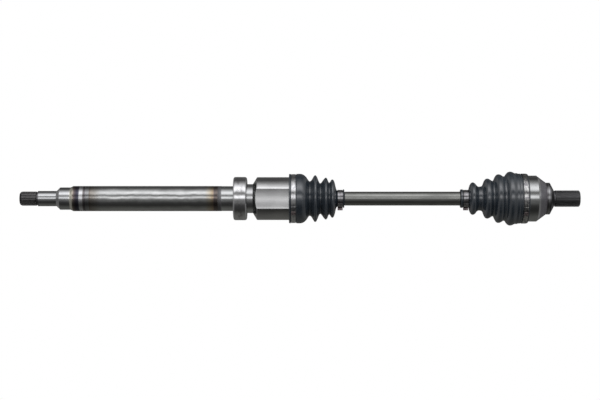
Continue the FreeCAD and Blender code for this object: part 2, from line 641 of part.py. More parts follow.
# ---------------------------------------------------------------- bar
seat = "bar_spline_r"
groove_r = "bar_spline_r - circlip_depth"
bar = turned("bar_shaft", [
    ("- hub_half - bar_end_len", "0"),
    ("- hub_half - bar_end_len", "bar_spline_r - bar_chamfer"),
    ("- hub_half - bar_end_len + bar_chamfer", seat),
    ("- hub_half - circlip_wall", seat), ("- hub_half - circlip_wall", groove_r),
    ("- hub_half", groove_r), ("- hub_half", seat), ("hub_half", seat),
    ("hub_half", groove_r), ("hub_half + circlip_wall", groove_r),
    ("hub_half + circlip_wall", seat), ("hub_half + circlip_wall + 2", seat),
    ("hub_half + circlip_wall + 4", "bar_neck_r"),
    ("bar_boot_in", "bar_neck_r"), ("bar_boot_in + 2", "bar_seat_r"),
    ("bar_visible_in - 1", "bar_seat_r"), ("bar_visible_in", "bar_r"),
    ("bar_visible_out - 1", "bar_r"), ("bar_visible_out", "bar_seat_r"),
    ("bar_boot_out", "bar_seat_r"), ("bar_boot_out + 2", "bar_neck_r"),
    ("joint_span - race_half - 4", "bar_neck_r"), ("joint_span - race_half - 2", seat),
    ("joint_span + race_half", seat), ("joint_span + race_half", groove_r),
    ("joint_span + race_half + circlip_wall", groove_r),
    ("joint_span + race_half + circlip_wall", seat),
    ("joint_span + race_half + circlip_wall + 1.2", seat),
    ("joint_span + race_half + circlip_wall + 1.2 + bar_chamfer", "bar_spline_r - bar_chamfer"),
    ("joint_span + race_half + circlip_wall + 1.2 + bar_chamfer", "0")])
place(bar, "tripod_x")


def make_circlip(label, at):
    clip = plain_ring(label, "circlip_r", groove_r, "circlip_wall", "circlip_wall + 2")
    clip.Placement = FreeCAD.Placement(FreeCAD.Vector(total(at), 0, 0), turn_to_x())
    bind(clip, "Placement.Base.x", at)
    clip.Label = label
    nodes.append(clip)


make_circlip("spider_end_circlip", "tripod_x - hub_half - circlip_wall")
make_circlip("spider_stop_circlip", "tripod_x + hub_half")
make_circlip("inner_race_circlip", "ball_joint_x + race_half")

# ---------------------------------------------------------------- tripod joint boot
adapter_hole = rod("adapter_hole", "tulip_r", "adapter_len + 2", "- 1")
wedges = []
for i, angle in enumerate((90, 210, 330)):
    wedge = primitive("Box", "adapter_flat_%d" % i, Length="adapter_len + 4",
                      Width="tulip_r + tulip_r", Height="tulip_r")
    turn = spoke(angle)
    mid = turn.multVec(FreeCAD.Vector(-2, -val("tulip_r"), val("tulip_flat")))
    wedge.Placement = FreeCAD.Placement(mid, turn)
    side_dir = turn.multVec(FreeCAD.Vector(0, -1, 0))
    out_dir = turn.multVec(FreeCAD.Vector(0, 0, 1))
    for letter in "yz":
        wedge.setExpression("Placement.Base." + letter,
                            "sizes.tulip_r * %.9f + sizes.tulip_flat * %.9f"
                            % (getattr(side_dir, letter), getattr(out_dir, letter)))
    wedges.append(wedge)
lobes = cut("adapter_lobes", adapter_hole, [joined("MultiFuse", "adapter_flats", wedges)])
adapter = cut("inner_boot_adapter",
              rod("adapter_outside", "adapter_r", "adapter_len", "0"), [lobes])
place(adapter, "tulip_end - adapter_len")


def boot(label, outside, inside):
    """Boot wall between an outer and an inner outline, both from left to right."""
    return turned(label, outside + inside[::-1])


w = " - boot_wall"
in_outside = [
    ("in_lip_x", "in_lip_r - 1"), ("in_lip_x + 1", "in_lip_r"),
    ("in_lip_x + in_lip_len - 0.6", "in_lip_r"), ("in_lip_x + in_lip_len", "in_groove_r"),
    ("in_lip_x + in_lip_len + in_groove_len", "in_groove_r"),
    ("in_lip_x + in_lip_len + in_groove_len + 0.8", "in_dome_r - 0.4"),
    ("in_lip_x + 16.8", "in_dome_r"), ("in_lip_x + 21.2", "in_dome_r - 0.3"),
    ("in_lip_x + 25.6", "in_dome_r - 2.1"), ("in_valley_1_x - 5.6", "in_valley_1_r + 6.8"),
    ("in_valley_1_x - 0.9", "in_valley_1_r"), ("in_valley_1_x + 0.9", "in_valley_1_r"),
    ("in_peak_1_x - crest_half", "in_peak_1_r"), ("in_peak_1_x + crest_half", "in_peak_1_r"),
    ("in_valley_2_x - 0.9", "in_valley_2_r"), ("in_valley_2_x + 0.9", "in_valley_2_r"),
    ("in_peak_2_x - crest_half", "in_peak_2_r"), ("in_peak_2_x + crest_half", "in_peak_2_r"),
    ("in_valley_3_x - 0.7", "in_valley_3_r"), ("in_valley_3_x + 0.7", "in_valley_3_r"),
    ("in_peak_3_x - 1.4", "in_peak_3_r"), ("in_peak_3_x + 1.2", "in_peak_3_r"),
    ("in_cuff_x", "in_cuff_r + 2"), ("in_cuff_x + 0.6", "in_cuff_r"),
    ("in_cuff_end", "in_cuff_r"), ("in_cuff_end + 0.4", "in_end_lip_r"),
    ("in_boot_end - 0.8", "in_end_lip_r"), ("in_boot_end", "in_end_lip_r - 1")]
in_inside = [
    ("in_lip_x", "adapter_r + boot_gap"), ("tulip_end + 1", "adapter_r + boot_gap"),
    ("in_lip_x + 19", "in_dome_r" + w), ("in_lip_x + 23.4", "in_dome_r - 2.1" + w),
    ("in_valley_1_x - 7.6", "in_valley_1_r + 6.8" + w),
    ("in_valley_1_x - 1.4", "in_valley_1_r" + w), ("in_valley_1_x + 1.4", "in_valley_1_r" + w),
    ("in_peak_1_x", "in_peak_1_r" + w),
    ("in_valley_2_x - 1.4", "in_valley_2_r" + w), ("in_valley_2_x + 1.4", "in_valley_2_r" + w),
    ("in_peak_2_x", "in_peak_2_r" + w),
    ("in_valley_3_x - 1", "in_valley_3_r" + w), ("in_valley_3_x + 1", "in_valley_3_r" + w),
    ("in_peak_3_x - 1", "in_peak_3_r" + w), ("in_peak_3_x + 0.2", "in_peak_3_r" + w),
    ("in_cuff_x - 1.4", "bar_seat_r + boot_gap"), ("in_boot_end", "bar_seat_r + boot_gap")]
place(boot("inner_boot", in_outside, in_inside))

# ---------------------------------------------------------------- ball joint boot
out_outside = [
    ("out_lip_x", "out_lip_r - 1"), ("out_lip_x + 0.8", "out_lip_r"),
    ("out_cuff_x - 0.4", "out_lip_r"), ("out_cuff_x", "out_cuff_r"),
    ("out_cuff_end", "out_cuff_r"), ("out_cuff_end + 1", "out_cuff_r + 2.4"),
    ("out_peak_1_x - 2", "out_peak_1_r - 0.6"), ("out_peak_1_x", "out_peak_1_r"),
    ("out_peak_1_x + 2", "out_peak_1_r - 0.6"),
    ("out_neck_x - 0.6", "out_neck_r + 0.8"), ("out_neck_x + 1", "out_neck_r"),
    ("out_neck_x + out_neck_len", "out_neck_r"),
    ("out_peak_2_x - 2.2", "out_peak_2_r - 0.8"), ("out_peak_2_x", "out_peak_2_r"),
    ("out_peak_2_x + 2.2", "out_peak_2_r - 0.8"),
    ("out_valley_2_x - 0.9", "out_valley_2_r"), ("out_valley_2_x + 0.9", "out_valley_2_r"),
    ("out_peak_3_x - 2.4", "out_peak_3_r - 0.9"), ("out_peak_3_x", "out_peak_3_r"),
    ("out_peak_3_x + 2.2", "out_peak_3_r - 0.8"),
    ("out_valley_3_x - 0.9", "out_valley_3_r"), ("out_valley_3_x + 0.9", "out_valley_3_r"),
    ("out_peak_4_x - 3", "out_peak_4_r - 0.9"), ("out_peak_4_x", "out_peak_4_r"),
    ("out_peak_4_x + 3", "out_peak_4_r - 0.8"), ("out_shoulder_x", "out_shoulder_r"),
    ("out_groove_x - 1", "out_shoulder_r - 1.4"), ("out_groove_x", "out_groove_r"),
    ("out_groove_end", "out_groove_r"), ("out_groove_end + 0.6", "out_end_r + 0.8"),
    ("out_boot_end", "out_end_r")]
out_inside = [
    ("out_lip_x", "bar_seat_r + boot_gap"), ("out_cuff_end + 2", "bar_seat_r + boot_gap"),
    ("out_peak_1_x", "out_peak_1_r" + w), ("out_neck_x - 1", "out_neck_r" + w),
    ("out_neck_x + out_neck_len + 1.4", "out_neck_r" + w),
    ("out_peak_2_x", "out_peak_2_r" + w),
    ("out_valley_2_x - 1", "out_valley_2_r" + w), ("out_valley_2_x + 1.2", "out_valley_2_r" + w),
    ("out_peak_3_x", "out_peak_3_r" + w),
    ("out_valley_3_x - 1", "out_valley_3_r" + w), ("out_valley_3_x + 1.2", "out_valley_3_r" + w),
    ("out_peak_4_x", "out_peak_4_r" + w), ("out_shoulder_x", "bell_r + boot_gap + 1"),
    ("ball_joint_x - bell_mouth - 1", "bell_r + boot_gap"),
    ("out_boot_end", "bell_r + boot_gap")]
place(boot("outer_boot", out_outside, out_inside))


def clamp(label, radius, width, start, ear_height, ear_length, ear_angle):
    """Steel band with a pinched ear that stands out of it."""
    band = rod(label + "_band", radius + " + band_wall", width, "0")
    ear = primitive("Box", label + "_ear", Length=width + " - 1.6", Width=ear_length,
                    Height="band_wall + " + ear_height)
    turn = spoke(val(ear_angle))
    side_dir = turn.multVec(FreeCAD.Vector(0, -0.5, 0))
    out_dir = turn.multVec(FreeCAD.Vector(0, 0, 1))
    ear.Placement = FreeCAD.Placement(FreeCAD.Vector(0.8, 0, 0), turn)
    for letter in "yz":
        ear.setExpression("Placement.Base." + letter, "(%s - 0.3) * %.9f + (%s) * %.9f" % (
            bound(radius), getattr(out_dir, letter), bound(ear_length),
            getattr(side_dir, letter)))
    # the ear is a loop of band: its inside is open from side to side
    loop = primitive("Box", label + "_loop", Length=width + " + 2",
                     Width=ear_length + " - band_wall - band_wall",
                     Height=ear_height + " + 0.3")
    loop.Placement = FreeCAD.Placement(FreeCAD.Vector(-1, 0, 0), turn)
    for letter in "yz":
        loop.setExpression("Placement.Base." + letter, "(%s - 0.3) * %.9f + (%s) * %.9f" % (
            bound(radius), getattr(out_dir, letter),
            bound(ear_length + " - band_wall - band_wall"), getattr(side_dir, letter)))
    bare = cut(label + "_bare", joined("MultiFuse", label + "_with_ear", [band, ear]), [loop])
    inside = rod(label + "_inside", radius, width + " + 2", "- 1")
    place(cut(label, bare, [inside]), start)


clamp("inner_boot_large_clamp", "in_band_r", "large_band_width",
      "in_lip_x + in_lip_len + 0.4", "ear_height", "ear_length", "large_ear_angle")
clamp("inner_boot_small_clamp", "in_small_band_r", "small_band_width",
      "in_cuff_x + 1.2", "small_ear_height", "small_ear_length", "small_ear_angle")
clamp("outer_boot_small_clamp", "out_small_band_r", "small_band_width",
      "out_cuff_x + 0.4", "small_ear_height", "small_ear_length", "small_ear_angle")
clamp("outer_boot_large_clamp", "out_band_r", "large_band_width",
      "out_groove_x + 0.9", "ear_height", "ear_length", "large_ear_angle")


# ---------------------------------------------------------------- ball joint
def ball_track(name, major, angle):
    """Curved ball track round the joint's middle, in the plane of one ball."""
    track = primitive("Torus", name, Radius1=major, Radius2="ball_track_r",
                      Angle3="track_sweep")
    out = spoke(angle).multVec(FreeCAD.Vector(0, 0, 1))
    across = FreeCAD.Vector(1, 0, 0).cross(out)
    start = FreeCAD.Rotation(across, -val("track_sweep") / 2).multVec(out)
    track.Placement = FreeCAD.Placement(
        FreeCAD.Vector(), FreeCAD.Rotation(start, across.cross(start), across, "ZXY"))
    return track


ball_angles = [90 + 60 * i for i in range(int(val("balls")))]
race_blank = joined("MultiCommon", "race_blank", [
    primitive("Sphere", "race_ball", Radius="race_sphere_r"),
    rod("race_slab", "race_sphere_r", "race_width", "- race_half")])
race_cuts = [ball_track("race_track_%d" % a, "race_track_r", a) for a in ball_angles]
race_cuts.append(rod("race_bore", "bar_spline_r", "race_width + 2", "- race_half - 1"))
place(cut("inner_race", race_blank, [joined("MultiFuse", "race_tools", race_cuts)]),
      "ball_joint_x")

cage_outside = joined("MultiCommon", "cage_outside", [
    primitive("Sphere", "cage_ball", Radius="cage_outer_r"),
    rod("cage_slab", "cage_outer_r", "cage_width", "- cage_half")])
windows = [primitive("Sphere", "cage_hollow", Radius="cage_inner_r")]
for a in ball_angles:
    window = primitive("Box", "cage_window_%d" % a,
                       Length="ball_r + ball_r + window_gap + window_gap",
                       Width="window_long", Height="cage_outer_r")
    turn = spoke(a)
    side_dir = turn.multVec(FreeCAD.Vector(0, -0.5, 0))
    window.Placement = FreeCAD.Placement(FreeCAD.Vector(), turn)
    window.setExpression("Placement.Base.x", "-(sizes.ball_r + sizes.window_gap)")
    window.setExpression("Placement.Base.y", "sizes.window_long * %.9f" % side_dir.y)
    window.setExpression("Placement.Base.z", "sizes.window_long * %.9f" % side_dir.z)
    windows.append(window)
place(cut("ball_cage", cage_outside, [joined("MultiFuse", "cage_tools", windows)]),
      "ball_joint_x")

for number, a in enumerate(ball_angles, start=1):
    ball = primitive("Sphere", "joint_ball_%d" % number, Radius="ball_r")
    out = spoke(a).multVec(FreeCAD.Vector(0, 0, 1))
    bind(ball, "Placement.Base.x", "ball_joint_x")
    ball.setExpression("Placement.Base.y", "sizes.ball_pitch_r * %.9f" % out.y)
    ball.setExpression("Placement.Base.z", "sizes.ball_pitch_r * %.9f" % out.z)
    ball.Label = "joint_ball_%d" % number
    nodes.append(ball)

bell = turned("bell_blank", [
    ("- bell_mouth", "0"), ("- bell_mouth", "bell_r"), ("bell_cyl_end", "bell_r"),
    ("bell_cone_end", "bell_cone_r"), ("bell_cone_end + 0.4", "hub_collar_r"),
    ("hub_collar_end", "hub_collar_r"), ("hub_cone_end", "hub_spline_r + 0.4"),
    ("hub_cone_end", "hub_relief_r"), ("hub_cone_end + hub_relief_len", "hub_relief_r"),
    ("hub_cone_end + hub_relief_len + 1", "hub_spline_r"),
    ("hub_end - hub_chamfer", "hub_spline_r"), ("hub_end", "hub_spline_r - hub_chamfer"),
    ("hub_end", "0")])
hub_space = outline(bell, "hub_tooth_space", [
    ("- hub_root_gap", "hub_spline_r - hub_tooth_depth"),
    ("hub_root_gap", "hub_spline_r - hub_tooth_depth"),
    ("hub_tooth_gap - 0.3", "hub_spline_r + 0.6"),
    ("0.3 - hub_tooth_gap", "hub_spline_r + 0.6")], "YZ_Plane", "hub_end + 1")
hub_cut = pocket(bell, hub_space, "hub_tooth_cut", "hub_spline_len - hub_relief_len")
around(bell, hub_cut, "hub_teeth", "hub_spline_teeth")
bell_cuts = [ball_track("bell_track_%d" % a, "bell_track_r", a) for a in ball_angles]
bell_cuts.append(primitive("Sphere", "bell_hollow", Radius="bell_sphere_r"))
mouth = primitive("Cone", "bell_mouth_cone", Radius1="mouth_r",
                  Radius2="mouth_r - mouth_cone_len - 2", Height="mouth_cone_len")
mouth.Placement = FreeCAD.Placement(FreeCAD.Vector(-val("bell_mouth"), 0, 0), turn_to_x())
bind(mouth, "Placement.Base.x", "- bell_mouth")
bell_cuts.append(mouth)
bell_cuts.append(rod("hub_hole", "hub_hole_r", "hub_hole_len + 1", "hub_end - hub_hole_len"))
place(cut("outer_race_bell", bell, [joined("MultiFuse", "bell_tools", bell_cuts)]),
      "ball_joint_x")

# ---------------------------------------------------------------- checks and files
doc.recompute()
for obj in doc.Objects:
    for word in ("Invalid", "Error"):
        if word in obj.State:
            raise RuntimeError("%s (%s): %s" % (obj.Name, obj.Label, obj.State))
for obj in nodes:
    shape = obj.Shape
    if shape.isNull() or not shape.isValid() or not shape.Solids:
        raise RuntimeError("bad shape: " + obj.Label)
for obj in nodes:
    obj.Shape.exportStep("parts/%s.step" % obj.Label)
    print(obj.Label, len(obj.Shape.Solids), round(obj.Shape.Volume / 1000, 2))
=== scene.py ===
import math

import bmesh
import bpy
from mathutils import Matrix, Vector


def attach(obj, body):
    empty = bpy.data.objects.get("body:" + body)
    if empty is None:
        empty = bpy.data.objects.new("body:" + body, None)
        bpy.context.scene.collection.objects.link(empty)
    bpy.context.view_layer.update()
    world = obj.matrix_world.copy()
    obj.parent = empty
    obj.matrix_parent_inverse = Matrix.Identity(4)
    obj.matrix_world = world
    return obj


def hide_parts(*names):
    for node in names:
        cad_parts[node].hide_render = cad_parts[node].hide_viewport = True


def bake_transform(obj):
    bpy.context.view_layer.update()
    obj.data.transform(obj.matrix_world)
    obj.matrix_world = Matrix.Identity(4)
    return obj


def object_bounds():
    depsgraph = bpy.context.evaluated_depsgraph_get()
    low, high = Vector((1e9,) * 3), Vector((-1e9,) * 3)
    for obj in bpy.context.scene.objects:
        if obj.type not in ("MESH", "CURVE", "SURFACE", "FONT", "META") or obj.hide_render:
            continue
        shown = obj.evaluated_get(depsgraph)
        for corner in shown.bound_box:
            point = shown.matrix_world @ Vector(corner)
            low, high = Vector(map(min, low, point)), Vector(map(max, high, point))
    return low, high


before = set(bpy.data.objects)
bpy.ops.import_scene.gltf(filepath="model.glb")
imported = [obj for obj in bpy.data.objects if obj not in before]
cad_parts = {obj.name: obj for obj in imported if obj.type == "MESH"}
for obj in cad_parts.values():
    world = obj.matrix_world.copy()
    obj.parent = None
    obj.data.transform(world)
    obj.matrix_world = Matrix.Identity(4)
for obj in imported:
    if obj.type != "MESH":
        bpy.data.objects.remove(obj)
cad_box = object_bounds()

MM = 0.001
AXLE = (1, 0, 0)
WHITE = (1, 1, 1, 1)
SHARP_METAL, SHARP_RUBBER = 40, 60      # edges sharper than this, in degrees, stay crisp


# ---------------------------------------------------------------- nodes and meshes
def add_node(tree, kind, inputs=None, **settings):
    """New shader node; each input takes a value or another node's output."""
    node = tree.nodes.new("ShaderNode" + kind)
    for name, value in settings.items():
        setattr(node, name, value)
    for key, value in (inputs or {}).items():
        if isinstance(value, bpy.types.NodeSocket):
            tree.links.new(value, node.inputs[key])
        else:
            node.inputs[key].default_value = value
    return node


def maths(tree, operation, *values):
    """Result of a maths node on numbers or other nodes' outputs."""
    return add_node(tree, "Math", dict(enumerate(values)), operation=operation).outputs[0]


def dimmed(tree, colour, amount):
    """The colour times an amount that changes over the surface."""
    return add_node(tree, "VectorMath", {0: colour, "Scale": amount},
                    operation="SCALE").outputs["Vector"]


def span(tree, value, given, wanted=(0.0, 1.0), shape="LINEAR"):
    """The value carried from one span of numbers to another, and kept inside it."""
    return add_node(tree, "MapRange", {"Value": value, "From Min": given[0], "From Max": given[1],
                                       "To Min": wanted[0], "To Max": wanted[1]},
                    interpolation_type=shape).outputs["Result"]


def colour_ramp(tree, place, stops):
    """Colours or greys at places from 0 to 1, with an even change between them."""
    node = add_node(tree, "ValToRGB", {"Fac": place})
    points = node.color_ramp.elements
    while len(points) > 1:
        points.remove(points[-1])
    for i, (at, colour) in enumerate(stops):
        point = points[0] if i == 0 else points.new(at)
        point.position = at
        tint = colour if isinstance(colour, tuple) else (colour, colour, colour)
        point.color = (*tint, 1)
    return node.outputs["Color"]


def stretched(tree, vector, scale):
    """The vector multiplied by three numbers."""
    return add_node(tree, "Mapping", {"Vector": vector, "Scale": scale}).outputs["Vector"]


def noise(tree, vector, scale, detail, roughness=0.5):
    """Soft noise with its own size along each of the three directions."""
    return add_node(tree, "TexNoise", {"Vector": stretched(tree, vector, scale), "Scale": 1.0,
                                       "Detail": detail, "Roughness": roughness}).outputs["Fac"]


def new_piece(name, shape, material, sharp_from):
    """Object from a finished bmesh, with its place in its mesh."""
    mesh = bpy.data.meshes.new(name)
    shape.to_mesh(mesh)
    shape.free()
    mesh.shade_smooth()
    mesh.set_sharp_from_angle(angle=math.radians(sharp_from))
    mesh.materials.append(material)
    piece = bpy.data.objects.new(name, mesh)
    bpy.context.scene.collection.objects.link(piece)
    return piece


# ---------------------------------------------------------------- camera, floor and light
CAMERA_PLACE = (0.1027, -0.0024, 2.6)
CAMERA_LENS, CAMERA_FILM = 90.7, 36.0
FLOOR_HALF = 6.0
FLOOR_MIDDLE = 0.1
FLOOR_DROP = 0.16       # below the axle at rest, so that the bar swings clear of it

# Light round the axle by direction: degrees from straight up towards +Y, and brightness.
STUDIO = [
    (-180, 0.070), (-150, 0.085), (-136, 0.078), (-105, 0.072), (-92, 0.058), (-80, 0.042),
    (-66, 0.020), (-52, 0.024), (-40, 0.030), (-32, 0.045), (-22, 0.10), (-10, 0.11),
    (-3, 0.24), (1, 0.42), (6, 0.88), (11, 0.92), (16, 0.55), (21, 0.26), (27, 0.15),
    (33, 0.17), (38, 0.50), (44, 0.80), (51, 0.97), (59, 0.95), (66, 0.74), (80, 0.42),
    (89, 0.26), (97, 0.16), (105, 0.10), (114, 0.045), (137, 0.068), (180, 0.070),
]
STUDIO_STRENGTH = 1.5
# By how far a direction leans along the axle, from 0 across it to 1 along it:
BOX_ENDS, BOX_END_LEVEL = (0.30, 0.85), 0.22
SIDE_LIGHT_ENDS = (0.32, 0.70)
# Brightness of that side light from low Y to high Y:
SIDE_LIGHT_REACH, SIDE_LIGHT_LEVELS = (-0.6, 0.6), (0.09, 0.19)


def make_camera():
    data = bpy.data.cameras.new("camera")
    data.lens = CAMERA_LENS
    data.sensor_width = CAMERA_FILM
    data.clip_end = 50.0
    camera = bpy.data.objects.new("camera", data)
    camera.location = CAMERA_PLACE
    bpy.context.scene.collection.objects.link(camera)
    bpy.context.scene.camera = camera
    bpy.context.scene.view_settings.view_transform = "Standard"


def floor_paint():
    """Plain white that only the camera sees, from above, so that steel stays dark below."""
    paint = bpy.data.materials.new("pale_floor")
    paint.use_nodes = True
    tree = paint.node_tree
    tree.nodes.clear()
    glow = add_node(tree, "Emission", {"Color": WHITE, "Strength": 1.0})
    clear = add_node(tree, "BsdfTransparent")
    rays = add_node(tree, "LightPath")
    side = add_node(tree, "NewGeometry")
    seen = add_node(tree, "Math", {0: rays.outputs["Is Camera Ray"],
                                   1: side.outputs["Backfacing"]},
                    operation="SUBTRACT", use_clamp=True)
    mix = add_node(tree, "MixShader", {0: seen.outputs["Value"], 1: clear.outputs["BSDF"],
                                       2: glow.outputs["Emission"]})
    add_node(tree, "OutputMaterial", {"Surface": mix.outputs["Shader"]})
    return paint


def make_floor():
    shape = bmesh.new()
    bmesh.ops.create_grid(shape, x_segments=1, y_segments=1, size=FLOOR_HALF)
    bmesh.ops.translate(shape, verts=shape.verts,
                        vec=(FLOOR_MIDDLE, 0, cad_box[0][2] - FLOOR_DROP))
    new_piece("floor", shape, floor_paint(), SHARP_METAL)


def studio_colour(angle, level):
    """The soft boxes are a little cool, and the side low towards -Y is a little olive."""
    cool = 1.02 if level > 0.3 else 1.0
    olive = 1.06 if angle < -60 else 1.0
    return level * olive, level * olive, min(level * cool, 1.0)


def make_light():
    """Studio of long soft boxes: one narrow overhead, one broad on the +Y side, dark between,
    and a weak light at each end."""
    world = bpy.data.worlds.new("studio")
    bpy.context.scene.world = world
    world.use_nodes = True
    tree = world.node_tree
    tree.nodes.clear()
    way = add_node(tree, "TexCoord").outputs["Generated"]
    x, y, z = add_node(tree, "SeparateXYZ", {"Vector": way}).outputs
    lean = maths(tree, "ABSOLUTE", x)
    turn = span(tree, maths(tree, "ARCTAN2", y, z), (-math.pi, math.pi))
    boxes = colour_ramp(tree, turn, [((angle + 180) / 360, studio_colour(angle, level))
                                     for angle, level in STUDIO])
    boxes = dimmed(tree, boxes, span(tree, lean, BOX_ENDS, (1.0, BOX_END_LEVEL), "SMOOTHSTEP"))
    side = maths(tree, "MULTIPLY", span(tree, lean, SIDE_LIGHT_ENDS, shape="SMOOTHSTEP"),
                 span(tree, y, SIDE_LIGHT_REACH, SIDE_LIGHT_LEVELS))
    both = add_node(tree, "VectorMath", {0: boxes, 1: side}, operation="ADD")
    room = add_node(tree, "Background", {"Color": both.outputs["Vector"],
                                         "Strength": STUDIO_STRENGTH})
    paper = add_node(tree, "Background", {"Color": WHITE, "Strength": 1.0})
    rays = add_node(tree, "LightPath")
    mix = add_node(tree, "MixShader", {0: rays.outputs["Is Camera Ray"],
                                       1: room.outputs["Background"],
                                       2: paper.outputs["Background"]})
    add_node(tree, "OutputWorld", {"Surface": mix.outputs["Shader"]})


make_camera()
make_floor()
make_light()


# ---------------------------------------------------------------- shared surface effects
def new_group(name, inputs, outputs):
    """Empty node group; inputs are (name, value), outputs are names."""
    group = bpy.data.node_groups.new(name, "ShaderNodeTree")
    group.interface.new_socket("Vector", in_out="INPUT", socket_type="NodeSocketVector")
    for label, value in inputs:
        socket = group.interface.new_socket(label, in_out="INPUT", socket_type="NodeSocketFloat")
        socket.default_value = value
    for label in outputs:
        group.interface.new_socket(label, in_out="OUTPUT", socket_type="NodeSocketFloat")
    start, end = group.nodes.new("NodeGroupInput"), group.nodes.new("NodeGroupOutput")
    return group, start.outputs, end.inputs


def build_turning_marks():
    """Fine rings left by the lathe, a little uneven round the axle."""
    group, given, made = new_group("turning_marks", [("Uneven", 0.25)], ["Height", "Tone"])
    fine = noise(group, given["Vector"], (1900, 14, 14), 2.0)
    wide = noise(group, given["Vector"], (260, 9, 9), 2.0)
    patch = noise(group, given["Vector"], (60, 60, 60), 3.0)
    both = maths(group, "ADD", maths(group, "MULTIPLY", fine, 0.6),
                 maths(group, "MULTIPLY", wide, 0.4))
    uneven = maths(group, "MULTIPLY", patch, given["Uneven"])
    group.links.new(both, made["Height"])
    group.links.new(maths(group, "ADD", both, uneven), made["Tone"])
    return group


def build_fine_grain():
    """Small even pits of rubber or plastic."""
    group, given, made = new_group("fine_grain", [("Size", 1500.0)], ["Height"])
    pits = add_node(group, "TexNoise", {"Vector": given["Vector"], "Scale": given["Size"],
                                        "Detail": 3.0})
    group.links.new(pits.outputs["Fac"], made["Height"])
    return group


def build_handling():
    """Broad, soft patches of oil film and handling."""
    group, given, made = new_group("handling", [("Low", 0.0), ("High", 1.0)], ["Amount"])
    cloud = noise(group, given["Vector"], (26, 60, 60), 5.0, 0.6)
    group.links.new(span(group, cloud, (0.36, 0.66), (given["Low"], given["High"]),
                         "SMOOTHSTEP"), made["Amount"])
    return group


def build_tooth_lands():
    """Nothing at the roots of spline teeth, all at their tips; radii in metres."""
    group, given, made = new_group("tooth_lands", [("Root", 0.0112), ("Tip", 0.0121)],
                                   ["Amount"])
    flat = stretched(group, given["Vector"], (0, 1, 1))
    reach = add_node(group, "VectorMath", {0: flat}, operation="LENGTH")
    group.links.new(span(group, reach.outputs["Value"], (given["Root"], given["Tip"]),
                         shape="SMOOTHSTEP"), made["Amount"])
    return group


turning_marks = build_turning_marks()
fine_grain = build_fine_grain()
handling = build_handling()
tooth_lands = build_tooth_lands()


# ---------------------------------------------------------------- finishes
LATHE_DEPTH, PIT_DEPTH, GRAIN_DEPTH = 0.00004, 0.00005, 0.00006     # of bumps, in metres
# Ends of the pieces along the axle, in mm, where their lists of stations start and stop.
DIFF_END, TUBE_START, TUBE_END, HOUSING_END = -379.0, -265.8, -44.4, 97.1
BELL_START, HUB_END = 477.0, 583.3


class Finish:
    """A material and the few nodes that every finish here starts from."""

    def __init__(self, name, metallic, roughness, colour):
        self.material = bpy.data.materials.new(name)
        self.material.use_nodes = True
        self.material.diffuse_color = (*colour, 1)
        self.tree = self.material.node_tree
        self.shader = self.tree.nodes["Principled BSDF"]
        self.shader.inputs["Metallic"].default_value = metallic
        self.shader.inputs["Roughness"].default_value = roughness
        self.shader.inputs["Base Color"].default_value = (*colour, 1)
        self.where = add_node(self.tree, "TexCoord").outputs["Object"]

    def feed(self, socket, value):
        self.tree.links.new(value, self.shader.inputs[socket])

    def maths(self, operation, *values):
        return maths(self.tree, operation, *values)

    def span(self, value, given, wanted=(0.0, 1.0)):
        return span(self.tree, value, given, wanted)

    def noise(self, scale, detail, roughness=0.5):
        return noise(self.tree, self.where, scale, detail, roughness)

    def effect(self, group, **values):
        """Outputs of a shared effect set to this finish's own values."""
        node = add_node(self.tree, "Group", {"Vector": self.where, **values}, node_tree=group)
        return node.outputs

    def rings(self, uneven=0.3):
        """Height and tone of the turning marks."""
        return self.effect(turning_marks, Uneven=uneven)

    def film(self, low=0.0):
        """Patches of oil film, from low to 1."""
        return self.effect(handling, Low=low, High=1.0)["Amount"]

    def bump(self, height, strength, distance):
        bump = add_node(self.tree, "Bump", {"Height": height, "Strength": strength,
                                            "Distance": distance})
        self.feed("Normal", bump.outputs["Normal"])

    def along(self, stops):
        """Colours or greys at stations along the axle, in mm."""
        x = add_node(self.tree, "SeparateXYZ", {"Vector": self.where}).outputs["X"]
        low, high = stops[0][0], stops[-1][0]
        return colour_ramp(self.tree, self.span(x, (low * MM, high * MM)),
                           [((at - low) / (high - low), colour) for at, colour in stops])

    def around(self, stops):
        """Greys by angle from the middle of each of three flats, in degrees, towards +Y."""
        _, y, z = add_node(self.tree, "SeparateXYZ", {"Vector": self.where}).outputs
        third = math.radians(120)
        turn = self.maths("ADD", self.maths("ARCTAN2", y, z), third / 2 + 3 * third)
        turn = self.maths("FLOORED_MODULO", turn, third)
        return colour_ramp(self.tree, self.span(turn, (0.0, third)),
                           [((angle + 60) / 120, grey) for angle, grey in stops])

    def blend_colour(self, factor, first, second):
        """From the first colour to the second one as the factor goes from 0 to 1."""
        first, second = ((*colour, 1) if isinstance(colour, tuple) else colour
                         for colour in (first, second))
        return add_node(self.tree, "Mix", {0: factor, 6: first, 7: second},
                        data_type="RGBA").outputs[2]

    def shade_tooth_gaps(self, colour, spline, root, tip, dark):
        """The colour with painted shade in the spaces between the teeth, where the spline's stations
        say 1.
        """
        lands = self.effect(tooth_lands, Root=root, Tip=tip)["Amount"]
        tooth_gap_shade = self.maths("SUBTRACT", 1.0, lands)
        return self.blend_colour(self.maths("MULTIPLY", tooth_gap_shade, self.along(spline)), colour, dark)


def turned_steel(name, colour, roughness, marks):
    """Steel fresh from the lathe or grinder."""
    finish = Finish(name, 1.0, roughness, colour)
    rings = finish.rings()
    stained = tuple(c * 0.85 for c in colour)
    finish.feed("Base Color", finish.blend_colour(finish.film(), colour, stained))
    finish.feed("Roughness", finish.span(rings["Tone"], (0.35, 0.95),
                                         (roughness - 0.05, roughness + 0.09)))
    finish.bump(rings["Height"], marks, LATHE_DEPTH)
    return finish.material


